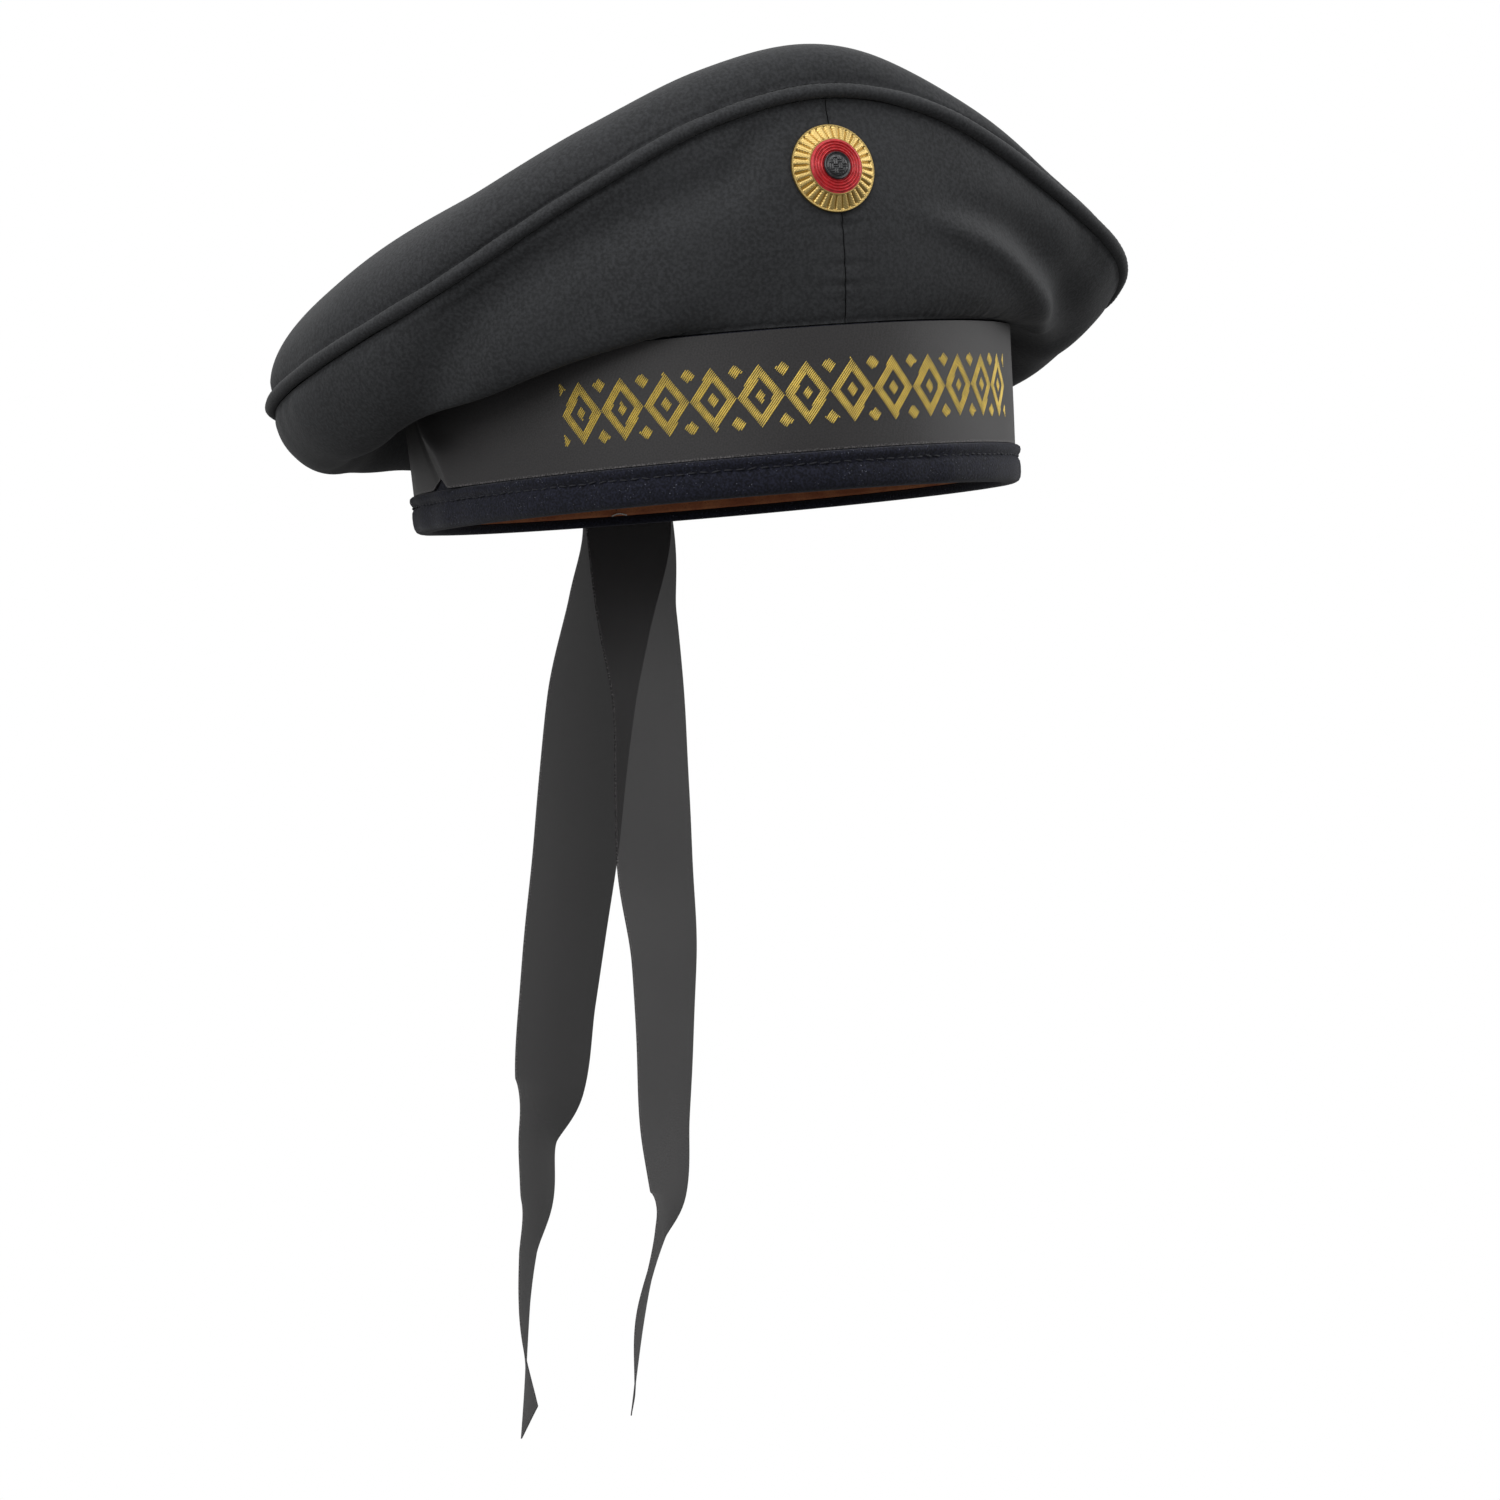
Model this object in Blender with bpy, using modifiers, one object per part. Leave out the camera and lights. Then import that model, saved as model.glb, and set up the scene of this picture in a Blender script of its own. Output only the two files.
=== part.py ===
"""A sailor's cap: a stiff headband with a silk ribbon, a soft plate-shaped crown and a cockade.

Metres, +Z up. The origin is the middle of the head opening, in the plane of the lower rim.
The front of the cap faces -Y, and +X is the wearer's left. An angle round the cap is in
degrees from the front, and it grows towards the wearer's left.
"""

import math
from typing import NamedTuple

import bmesh
import bpy
from mathutils import Matrix, Vector

MM = 0.001
GAP = 0.3 * MM  # clearance between neighbouring pieces
STEPS_AROUND = 60  # facets round the cap
STEP = 360 / STEPS_AROUND

# Head opening: an egg-shaped oval, wider behind the ears
HEAD_CIRCUMFERENCE = 565 * MM
OVAL_RATIO = 0.85  # width over length
EGG = 0.03  # how much the back is wider than the front
FLARE = 2.0 * MM  # how much further out the band's top is than its foot
HALF_LENGTH = HEAD_CIRCUMFERENCE / (2 * math.pi * math.sqrt((1 + OVAL_RATIO**2) / 2))
HALF_WIDTH = OVAL_RATIO * HALF_LENGTH

# Walls, from the head outwards
SWEATBAND_WALL = 1.2 * MM
BAND_WALL = 2.5 * MM
RIBBON_WALL = 1.0 * MM
CLOTH_WALL = 2.0 * MM
BAND_INSIDE = SWEATBAND_WALL + GAP
BAND_OUTSIDE = BAND_INSIDE + BAND_WALL
RIBBON_INSIDE = BAND_OUTSIDE + GAP
RIBBON_OUTSIDE = RIBBON_INSIDE + RIBBON_WALL

# Heights above the lower rim
LIP_HEIGHT = 2.7 * MM  # the band's cloth, turned in under the sweatband
WELT_HEIGHT = 11.2 * MM  # rolled cloth edge under the ribbon
WELT_SWELL = 1.6 * MM  # how far the welt stands out from the band
WELT_ROUND = 1.2 * MM
BAND_HEIGHT = 47.1 * MM
RIBBON_WIDTH = 35.3 * MM
RIBBON_BOTTOM = WELT_HEIGHT + GAP
SWEATBAND_TOP = 40 * MM

# The tuck of the ribbon on the wearer's right, a fold that leans
TUCK_ANGLE = -84
TUCK_LEAN = -6  # degrees round the cap, from bottom to top
TUCK_SPREAD = 3.5
TUCK_SWELL = 1.4 * MM
RIBBON_STEPS = 120  # facets round the ribbon

PIPING_RADIUS = 2.1 * MM

# Rows of facets of the crown's panels, closer where they bend most
SIDE_LEVELS = (0, 0.05, 0.12, 0.22, 0.34, 0.48, 0.62, 0.76, 0.88, 1)
TOP_LEVELS = (0, 0.08, 0.18, 0.32, 0.52, 0.76)

# Cockade, with its pieces stacked outwards
COCKADE_HEIGHT = 91 * MM  # its middle, above the rim
COCKADE_SIDE = -1.5 * MM  # its middle, off the seam
RING_RADIUS = 12.5 * MM
RING_HOLE = 2.5 * MM
RING_EDGE = 0.7 * MM
RING_RISE = 2.4 * MM
PLEATS = 30
PLEAT_DEPTH = 0.35 * MM
DISC_RADIUS = 7.8 * MM
DISC_WALL = 0.8 * MM
DISC_RIDGES = 3
RIDGE_HEIGHT = 0.5 * MM
BUTTON_RADIUS = 4.1 * MM
BUTTON_RISE = 1.1 * MM
BUTTON_EDGE = 0.3 * MM
SEAM_POINTS = 100  # places on the front seam that are tried for its seat
ROUND_STEPS = 28  # facets of a turned piece
DOME_STEPS = 4
SHARP = 40  # edges bent by more than these degrees are shaded sharp
MERGE = 0.01 * MM


class Section(NamedTuple):
    """The crown is lofted through these sections, all the way round. Sizes are in millimetres."""

    angle: float
    reach: float  # piping, out from the cap's axis
    height: float  # piping, above the rim
    lead_out: float  # how the side panel leaves the band
    lead_up: float
    hang_out: float  # middle of the side panel, from its lower seam
    hang_up: float
    edge_out: float  # how the side panel comes up to the piping
    edge_up: float
    puff_out: float  # how the top panel leaves the piping
    puff_up: float


SECTIONS = [
    Section(-150, 129, 38, 11, 1, 6, -40, 4, -17, 6, 22),
    Section(-115, 131, 41, 11, 1, 8, -47, 4, -17, 6, 25),
    Section(-90, 126, 50, 11, 1, 10, -50, 4, -17, 6, 28),
    Section(-65, 118, 66, 10, 0, 13, -38, 2, -16, 5, 30),
    Section(-40, 109, 90, 8, -2, 11, -8, 2, -20, 4, 30),
    Section(-20, 104, 107, 5, 6, 9, 20, 4, -20, 2, 30),
    Section(0, 103, 114, 4, 10, 7, 34, 4, -18, 1, 29),
    Section(20, 106, 107, 6, 4, 9, 20, 4, -18, 0, 24),
    Section(45, 115, 84, 8, -1, 12, 0, 2, -18, 0, 12),
    Section(66, 127, 65, 9, -1, 10, -8, -12, -13, 1, 8),
    Section(90, 130, 52, 11, 1, 12, -20, -8, -14, 3, 12),
    Section(120, 132, 43, 11, 1, 8, -36, 3, -17, 4, 16),
    Section(165, 130, 38, 11, 1, 6, -40, 4, -17, 5, 20),
]


class Fold(NamedTuple):
    """A crease of the side panels, a ridge where depth is positive. Level 0 is the band, 1 the piping."""

    from_angle: float
    from_level: float
    to_angle: float
    to_level: float
    spread: float  # half width, in degrees round the cap
    depth: float  # in millimetres


FOLDS = [
    Fold(-44, 0.88, -76, 0.30, 8, -6.0),
    Fold(-16, 0.80, -44, 0.84, 7, -3.0),
    Fold(17, 0.45, 45, 0.15, 6, 2.5),
    Fold(26, 0.55, 66, 0.52, 8, -5.0),
]

FOLD_DEGREES_PER_LEVEL = 60  # scale that turns a level into degrees, to measure a fold's spread
FOLD_ENDS = (0.15, 0.08)  # levels over which folds fade out at the band and at the piping

TOP_SEAT = 130  # where the panels meet the piping, in degrees up from straight out
SIDE_SEAT = -130
APEX = Vector((0, 10 * MM, 101 * MM))  # middle of the top panel
APEX_SHARE = 0.5  # where the roof's control points lie, from the apex to the piping
APEX_SLOPE = 0.24  # fall of the top panel at the apex, towards the back


class Station(NamedTuple):
    """A place on the middle line of a streamer. Sizes are in millimetres."""

    height: float  # above the rim
    side: float  # towards the wearer's left
    back: float  # behind the ribbon that goes round the band
    turn: float  # of its face, in degrees about the upright
    width: float  # less than the ribbon's own where it is gathered


STREAMERS = {
    "streamer_left": [
        Station(36, 12.5, 0, 0, 27),
        Station(0, 13, 0, 0, 27),
        Station(-23, 14.5, 1, 7, 29),
        Station(-55, 17, 3, 24, 33),
        Station(-106, 15, 4, 24, 35),
        Station(-138, 15.5, 4, 32, 35),
        Station(-189, 11, 4, 41, 35),
        Station(-212, 10, 4, 48, 35),
        Station(-224, 6, 3, 60, 35),
        Station(-251, -4, 2, 64, 35),
        Station(-275, -9, 1, 70, 35),
    ],
    "streamer_right": [
        Station(34, 12.5, 1.3, 0, 27),
        Station(0, 12.5, 1.3, 0, 27),
        Station(-23, 8, 4, 7, 31),
        Station(-54, -1, 6, 13, 34),
        Station(-104, -11, 7, 19, 35),
        Station(-148, -21, 7, 25, 35),
        Station(-174, -26, 7, 30, 35),
        Station(-190, -32, 6, 48, 35),
        Station(-210, -34, 6, 51, 35),
        Station(-226, -39, 5, 59, 35),
        Station(-253, -43, 4, 66, 35),
        Station(-279, -44, 3, 78, 35),
    ],
}
STREAMER_ROWS = 34
STREAMER_COLUMNS = 4
STREAMER_LIES_TO = -30 * MM  # above this height a streamer bends to the band's round back
STREAMER_FACE = BAND_OUTSIDE + WELT_SWELL + GAP + RIBBON_WALL
END_SLANT = 12 * MM  # how much lower one corner of the cut end is
END_SLANT_FROM = 0.12  # share of the length that the slant takes up


def polar(angle):
    """The direction out from the axis."""
    turn = math.radians(angle)
    return Vector((math.sin(turn), -math.cos(turn), 0))


def oval(angle, offset, height):
    """A point of the head oval, moved out by an offset and the band's flare at that height."""
    turn = math.radians(angle)
    x = HALF_WIDTH * math.sin(turn) * (1 - EGG * math.cos(turn))
    y = -HALF_LENGTH * math.cos(turn)
    along_x = HALF_WIDTH * (math.cos(turn) - EGG * math.cos(2 * turn))
    along_y = HALF_LENGTH * math.sin(turn)
    out = Vector((along_y, -along_x, 0)).normalized()
    return Vector((x, y, height)) + out * (offset + FLARE * height / BAND_HEIGHT)


def hermite(before, low, high, after, spans, t):
    """A value on the smooth curve through four values of a table, between the middle two."""
    span_before, span, span_after = spans
    rise_low = (high - before) * span / (span + span_before)
    rise_high = (after - low) * span / (span + span_after)
    return (
        (2 * t**3 - 3 * t**2 + 1) * low
        + (t**3 - 2 * t**2 + t) * rise_low
        + (3 * t**2 - 2 * t**3) * high
        + (t**3 - t**2) * rise_high
    )


def crown_section(angle):
    """The section at any angle, on a smooth curve through the table's rows."""
    count = len(SECTIONS)
    first = SECTIONS[0].angle
    angle = first + (angle - first) % 360
    left = max(i for i in range(count) if SECTIONS[i].angle <= angle)
    rows = [SECTIONS[(left + i) % count] for i in (-1, 0, 1, 2)]
    spans = [(b.angle - a.angle) % 360 for a, b in zip(rows, rows[1:])]
    t = (angle - rows[1].angle) / spans[1]
    return Section(*(hermite(*column, spans, t) for column in zip(*rows)))


def station(stations, height):
    """The station of a streamer at any height, on a smooth curve through its rows."""
    last = len(stations) - 1
    upper = min(last - 1, sum(row.height * MM >= height for row in stations[1:]))
    rows = [stations[max(0, min(last, upper + i))] for i in (-1, 0, 1, 2)]
    spans = [a.height - b.height for a, b in zip(rows, rows[1:])]
    t = (rows[1].height - height / MM) / spans[1]
    return Station(*(hermite(*column, spans, t) for column in zip(*rows)))


def bezier(points, t):
    """A point of the Bezier curve with these control points."""
    degree = len(points) - 1
    total = Vector((0, 0, 0))
    for i, point in enumerate(points):
        total += point * (math.comb(degree, i) * t**i * (1 - t) ** (degree - i))
    return total


def piping_centre(angle):
    """The middle of the piping."""
    row = crown_section(angle)
    return polar(angle) * row.reach * MM + Vector((0, 0, row.height * MM))


def seat_on_piping(angle, tilt):
    """A point just clear of the piping, at a tilt from straight out in the upright plane there."""
    turn = math.radians(tilt)
    out, up = polar(angle), Vector((0, 0, 1))
    return piping_centre(angle) + (out * math.cos(turn) + up * math.sin(turn)) * (PIPING_RADIUS + GAP)


def side_base(angle, level):
    """A point of the side panels' outer face, without folds."""
    row = crown_section(angle)
    out, up = polar(angle), Vector((0, 0, 1))
    foot = oval(angle, BAND_OUTSIDE, BAND_HEIGHT + GAP)
    head = seat_on_piping(angle, SIDE_SEAT)
    lead = foot + (out * row.lead_out + up * row.lead_up) * MM
    hang = foot + (out * row.hang_out + up * row.hang_up) * MM
    edge = head + (out * row.edge_out + up * row.edge_up) * MM
    return bezier([foot, lead, hang, edge, head], level)


def fold_depth(angle, level):
    """How far the folds push the side panels out at a place."""
    place_here = Vector((angle, level * FOLD_DEGREES_PER_LEVEL))
    total = 0.0
    for fold in FOLDS:
        start = Vector((fold.from_angle, fold.from_level * FOLD_DEGREES_PER_LEVEL))
        run = Vector((fold.to_angle, fold.to_level * FOLD_DEGREES_PER_LEVEL)) - start
        along = max(0.0, min(1.0, (place_here - start).dot(run) / run.length_squared))
        away = (place_here - start - run * along).length / fold.spread
        total += fold.depth * MM * math.exp(-(away**2))
    at_band, at_piping = FOLD_ENDS
    return total * min(1.0, level / at_band, (1 - level) / at_piping)


def side_point(angle, level):
    """A point of the side panels' outer face, folds included."""
    nudge = 0.01
    base = side_base(angle, level)
    up = side_base(angle, min(1, level + nudge)) - side_base(angle, max(0, level - nudge))
    around = side_base(angle + 1, level) - side_base(angle - 1, level)
    return base + around.cross(up).normalized() * fold_depth(angle, level)


def top_point(angle, level):
    """A point of the top panel's outer face. Level 0 is the piping, 1 the apex."""
    row = crown_section(angle)
    out, up = polar(angle), Vector((0, 0, 1))
    edge = seat_on_piping(angle, TOP_SEAT)
    puff = edge + (out * row.puff_out + up * row.puff_up) * MM
    level_edge = Vector((edge.x, edge.y, APEX.z - APEX_SLOPE * (edge.y - APEX.y)))
    roof = APEX.lerp(level_edge, APEX_SHARE)
    return bezier([edge, puff, roof, APEX], level)


def fresh_scene():
    """Clears the scene and makes the cap's collection."""
    for thing in list(bpy.data.objects):
        bpy.data.objects.remove(thing)
    bpy.context.scene.collection.children.link(bpy.data.collections.new("sailor_cap"))


def finish(name, colour, roughness, metallic=0.0):
    """A plain finish."""
    material = bpy.data.materials.new(name)
    material.use_nodes = True
    shader = material.node_tree.nodes["Principled BSDF"]
    shader.inputs["Base Color"].default_value = (*colour, 1)
    shader.inputs["Roughness"].default_value = roughness
    shader.inputs["Metallic"].default_value = metallic
    return material


def place(name, data, material, parent=None):
    """An object of the cap."""
    thing = bpy.data.objects.new(name, data)
    bpy.data.collections["sailor_cap"].objects.link(thing)
    data.materials.append(material)
    thing.parent = parent
    return thing


def sheet(name, rows, wall, material, closed=False, middle=None):
    """A wall whose outer face runs through rows of points, with its thickness on the inner side.

    A closed sheet joins the last point of each row to the first. A middle point closes the last row.
    """
    bm = bmesh.new()
    grid = [[bm.verts.new(point) for point in row] for row in rows]
    count = len(rows[0])
    for lower, upper in zip(grid, grid[1:]):
        for i in range(count if closed else count - 1):
            j = (i + 1) % count
            bm.faces.new((lower[i], lower[j], upper[j], upper[i]))
    if middle is not None:
        tip = bm.verts.new(middle)
        for i in range(count):
            bm.faces.new((grid[-1][i], grid[-1][(i + 1) % count], tip))
    mesh = bpy.data.meshes.new(name)
    bm.to_mesh(mesh)
    bm.free()
    mesh.shade_smooth()
    thing = place(name, mesh, material)
    solidify = thing.modifiers.new("wall", "SOLIDIFY")
    solidify.thickness = wall
    solidify.offset = -1
    solidify.use_even_offset = True
    return thing


def loft(name, loops, material, parent=None):
    """A solid ring through closed loops of points, the last joined to the first."""
    bm = bmesh.new()
    rings = [[bm.verts.new(point) for point in loop] for loop in loops]
    for ring, following in zip(rings, rings[1:] + rings[:1]):
        for j, corner in enumerate(ring):
            k = (j + 1) % len(ring)
            bm.faces.new((corner, ring[k], following[k], following[j]))
    bmesh.ops.recalc_face_normals(bm, faces=bm.faces)
    mesh = bpy.data.meshes.new(name)
    bm.to_mesh(mesh)
    bm.free()
    mesh.shade_smooth()
    mesh.set_sharp_from_angle(angle=math.radians(SHARP))
    return place(name, mesh, material, parent)


def turned(name, profile, steps, material, parent):
    """A solid turned about its own Z axis, from a profile that runs outwards and down."""
    mesh = bpy.data.meshes.new(name)
    corners = [(radius, 0, height) for radius, height in profile]
    mesh.from_pydata(corners, [(i, i + 1) for i in range(len(corners) - 1)], [])
    thing = place(name, mesh, material, parent)
    screw = thing.modifiers.new("turn", "SCREW")
    screw.steps = screw.render_steps = steps
    screw.use_merge_vertices = True
    screw.merge_threshold = MERGE
    return thing


def headband(material):
    """The stiff band: cloth turned in at the foot, and a rolled welt below the ribbon."""
    lip = GAP
    welt = BAND_OUTSIDE + WELT_SWELL
    section = [
        (BAND_INSIDE, BAND_HEIGHT),
        (BAND_INSIDE, LIP_HEIGHT),
        (lip, LIP_HEIGHT),
        (lip, WELT_ROUND / 2),
        (lip + WELT_ROUND, 0),
        (BAND_OUTSIDE, 0),
        (welt, WELT_ROUND),
        (welt, WELT_HEIGHT - WELT_ROUND),
        (BAND_OUTSIDE + WELT_SWELL / 2, WELT_HEIGHT),
        (BAND_OUTSIDE, WELT_HEIGHT),
        (BAND_OUTSIDE, BAND_HEIGHT),
    ]
    loops = [[oval(i * STEP, offset, height) for offset, height in section] for i in range(STEPS_AROUND)]
    return loft("headband", loops, material)


def sweatband(material):
    """The leather strip inside the band."""
    heights = [LIP_HEIGHT + GAP, SWEATBAND_TOP]
    rows = [[oval(i * STEP, SWEATBAND_WALL, z) for i in range(STEPS_AROUND)] for z in heights]
    return sheet("sweatband", rows, SWEATBAND_WALL, material, closed=True)


def tuck_swell(angle, level):
    """How far the tuck lifts the ribbon at a place. Level 0 is the ribbon's lower edge, 1 its upper."""
    away = (angle - TUCK_ANGLE - TUCK_LEAN * level) / TUCK_SPREAD
    return TUCK_SWELL * math.exp(-(away**2)) * math.sin(math.pi * level) ** 0.5


def ribbon_band(material):
    """The ribbon round the band, with its tuck."""
    rows = []
    for level in (0, 0.25, 0.75, 1):
        row = []
        for i in range(RIBBON_STEPS):
            angle = i * 360 / RIBBON_STEPS - 180
            offset = RIBBON_OUTSIDE + tuck_swell(angle, level)
            row.append(oval(angle, offset, RIBBON_BOTTOM + RIBBON_WIDTH * level))
        rows.append(row)
    return sheet("ribbon_band", rows, RIBBON_WALL, material, closed=True)


def streamer_point(stations, share, across):
    """A point of a streamer's rear face.

    The share of its length runs from the lower end to the top, and the share of its width across
    it from -0.5 to 0.5.
    """
    height = (stations[-1].height + (stations[0].height - stations[-1].height) * share) * MM
    nudge = MM
    row, above = station(stations, height), station(stations, height + nudge)
    across *= row.width * MM
    slant = -END_SLANT * max(0.0, 1 - share / END_SLANT_FROM) * across / RIBBON_WIDTH
    rear = oval(180, STREAMER_FACE, 0).y
    centre = Vector((row.side * MM, rear + row.back * MM, height + slant))
    rise = Vector(((above.side - row.side) * MM, (above.back - row.back) * MM, nudge))
    turn = math.radians(row.turn)
    face = Vector((math.cos(turn), math.sin(turn), 0))
    hung = centre + (face - rise * face.dot(rise) / rise.length_squared).normalized() * across
    side = row.side * MM + across
    angle = 180 - math.degrees(math.asin(side / (HALF_WIDTH + STREAMER_FACE)))
    lying = oval(angle, STREAMER_FACE + row.back * MM, height)
    lies = max(0.0, min(1.0, 1 - height / STREAMER_LIES_TO))
    return hung.lerp(lying, lies * lies * (3 - 2 * lies))


def streamer(name, stations, material):
    """One end of the ribbon, which hangs from the back of the band."""
    columns = [0.5 - i / STREAMER_COLUMNS for i in range(STREAMER_COLUMNS + 1)]
    shares = [i / STREAMER_ROWS for i in range(STREAMER_ROWS + 1)]
    rows = [[streamer_point(stations, share, across) for across in columns] for share in shares]
    return sheet(name, rows, RIBBON_WALL, material)


def crown_side(name, side, material):
    """One half of the crown's side, from the front seam to the back seam. The side is 1 or -1."""
    seam = math.degrees(0.5 * GAP / HALF_LENGTH)
    count = STEPS_AROUND // 2
    angles = [side * (seam + (180 - 2 * seam) * i / count) for i in range(count + 1)]
    rows = [[side_point(angle, level) for angle in sorted(angles)] for level in SIDE_LEVELS]
    return sheet(name, rows, CLOTH_WALL, material)


def crown_top(material):
    """The round top panel."""
    rows = [[top_point(i * STEP, level) for i in range(STEPS_AROUND)] for level in TOP_LEVELS]
    return sheet("crown_top", rows, CLOTH_WALL, material, closed=True, middle=APEX)


def piping(material):
    """The covered cord between the top and the sides."""
    curve = bpy.data.curves.new("piping", "CURVE")
    curve.dimensions = "3D"
    curve.bevel_depth = PIPING_RADIUS
    curve.bevel_resolution = 1
    spline = curve.splines.new("POLY")
    spline.points.add(STEPS_AROUND - 1)
    spline.use_cyclic_u = True
    for i, point in enumerate(spline.points):
        point.co = (*piping_centre(i * STEP), 1)
    return place("piping", curve, material)


def cockade_frame():
    """An empty by the front seam, its Z axis out of the cloth, clear of the cloth's fullest point."""
    seam = [side_point(0, i / SEAM_POINTS) for i in range(SEAM_POINTS + 1)]
    middle = min(seam, key=lambda point: abs(point.z - COCKADE_HEIGHT))
    behind = [point for point in seam if abs(point.z - middle.z) < RING_RADIUS]
    up = (behind[-1] - behind[0]).normalized()
    across = Vector((1, 0, 0))
    out = across.cross(up)
    middle = middle + across * COCKADE_SIDE
    fullest = max((point - middle).dot(out) for point in behind)
    frame = bpy.data.objects.new("cockade", None)
    frame.matrix_world = Matrix.Translation(middle + out * (fullest + GAP)) @ Matrix(
        (across, up, out)
    ).transposed().to_4x4()
    bpy.data.collections["sailor_cap"].objects.link(frame)
    return frame


def cockade_ring(material, frame):
    """The pleated outer ring, a low cone with a hole for the pin."""
    loops = []
    for i in range(2 * PLEATS):
        fold = PLEAT_DEPTH * (i % 2)
        around = polar(i * 180 / PLEATS)
        section = [
            (RING_HOLE, 0),
            (RING_RADIUS, 0),
            (RING_RADIUS, RING_EDGE - fold),
            (DISC_RADIUS, RING_RISE - fold),
            (RING_HOLE, RING_RISE),
        ]
        loops.append([around * radius + Vector((0, 0, height)) for radius, height in section])
    return loft("cockade_ring", loops, material, frame)


def cockade_disc(material, frame):
    """The ridged middle disc."""
    start = BUTTON_RADIUS + GAP
    pitch = (DISC_RADIUS - start) / DISC_RIDGES
    profile = [(0, DISC_WALL), (start, DISC_WALL)]
    for i in range(DISC_RIDGES):
        profile.append((start + pitch * (i + 0.5), DISC_WALL + RIDGE_HEIGHT))
        profile.append((start + pitch * (i + 1), DISC_WALL))
    profile += [(DISC_RADIUS, 0), (0, 0)]
    disc = turned("cockade_disc", profile, ROUND_STEPS, material, frame)
    disc.location.z = RING_RISE + GAP
    return disc


def cockade_button(material, frame):
    """The domed button in the middle."""
    arc = [math.radians(90 * i / DOME_STEPS) for i in range(DOME_STEPS + 1)]
    dome = BUTTON_RISE - BUTTON_EDGE
    profile = [(BUTTON_RADIUS * math.sin(a), BUTTON_EDGE + dome * math.cos(a)) for a in arc]
    profile += [(BUTTON_RADIUS, 0), (0, 0)]
    button = turned("cockade_button", profile, ROUND_STEPS, material, frame)
    button.location.z = RING_RISE + GAP + DISC_WALL + GAP
    return button


def main():
    """Builds the cap."""
    fresh_scene()
    cloth = finish("crown_cloth", (0.028, 0.030, 0.034), 0.9)
    navy = finish("band_cloth", (0.010, 0.013, 0.026), 0.95)
    silk = finish("ribbon_silk", (0.030, 0.028, 0.028), 0.55)
    leather = finish("sweatband_leather", (0.26, 0.085, 0.025), 0.6)
    gold = finish("cockade_gold", (0.60, 0.42, 0.12), 0.4, metallic=0.7)
    red = finish("cockade_red", (0.50, 0.015, 0.02), 0.45)
    black = finish("cockade_black", (0.03, 0.03, 0.035), 0.4)
    headband(navy)
    sweatband(leather)
    ribbon_band(silk)
    for name, stations in STREAMERS.items():
        streamer(name, stations, silk)
    crown_side("crown_side_left", 1, cloth)
    crown_side("crown_side_right", -1, cloth)
    crown_top(cloth)
    piping(cloth)
    frame = cockade_frame()
    cockade_ring(gold, frame)
    cockade_disc(red, frame)
    cockade_button(black, frame)


main()
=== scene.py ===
"""The looks of the sailor's cap, in metres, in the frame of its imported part.

The front of the cap faces -Y and +X is the wearer's left. An angle round the cap is in degrees from
the front, and it grows towards the wearer's left. Each sub-assembly is a class that holds its sizes
and builds its pieces, and each finish is a small class that makes one material.
"""

import logging
import math
from dataclasses import dataclass
from enum import Enum
from typing import NamedTuple, Sequence

import bmesh
import bpy
import numpy as np
from mathutils import Matrix, Vector


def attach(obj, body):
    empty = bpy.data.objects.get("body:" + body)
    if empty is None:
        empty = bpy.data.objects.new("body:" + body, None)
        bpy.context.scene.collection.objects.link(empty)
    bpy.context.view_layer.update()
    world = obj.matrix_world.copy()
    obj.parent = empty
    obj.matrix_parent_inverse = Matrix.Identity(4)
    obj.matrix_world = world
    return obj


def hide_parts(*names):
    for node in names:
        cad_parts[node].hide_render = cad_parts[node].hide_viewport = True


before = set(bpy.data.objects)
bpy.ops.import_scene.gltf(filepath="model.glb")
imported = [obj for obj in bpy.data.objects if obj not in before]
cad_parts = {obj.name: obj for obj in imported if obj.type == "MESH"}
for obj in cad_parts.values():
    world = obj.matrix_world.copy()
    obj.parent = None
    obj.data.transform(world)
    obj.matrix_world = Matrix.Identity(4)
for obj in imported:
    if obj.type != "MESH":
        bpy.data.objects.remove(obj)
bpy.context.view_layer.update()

Array = np.ndarray
Colour = tuple[float, float, float]
log = logging.getLogger("sailor_cap")

MM = 0.001
GAP = 0.3 * MM  # clearance between neighbouring pieces
CLOTH_MAP = "cloth"  # UV map with metres along and across the cloth
SHARP = math.radians(50)  # edges bent by more than this are shaded sharp
WAVES = 9  # plane waves that add up to a random unevenness


class Slot(Enum):
    """The record's material slots."""

    CROWN = "crown_cloth"
    PIPING = "piping_cloth"
    BAND = "band_cloth"
    RIBBON = "ribbon_silk"
    LEATHER = "sweatband_leather"
    GOLD = "cockade_gold"
    RED = "cockade_red"
    BLACK = "cockade_black"


def unit(vectors: Array) -> Array:
    """Vectors of length 1 along the given ones."""
    return vectors / np.maximum(np.linalg.norm(vectors, axis=-1, keepdims=True), 1e-12)


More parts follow.
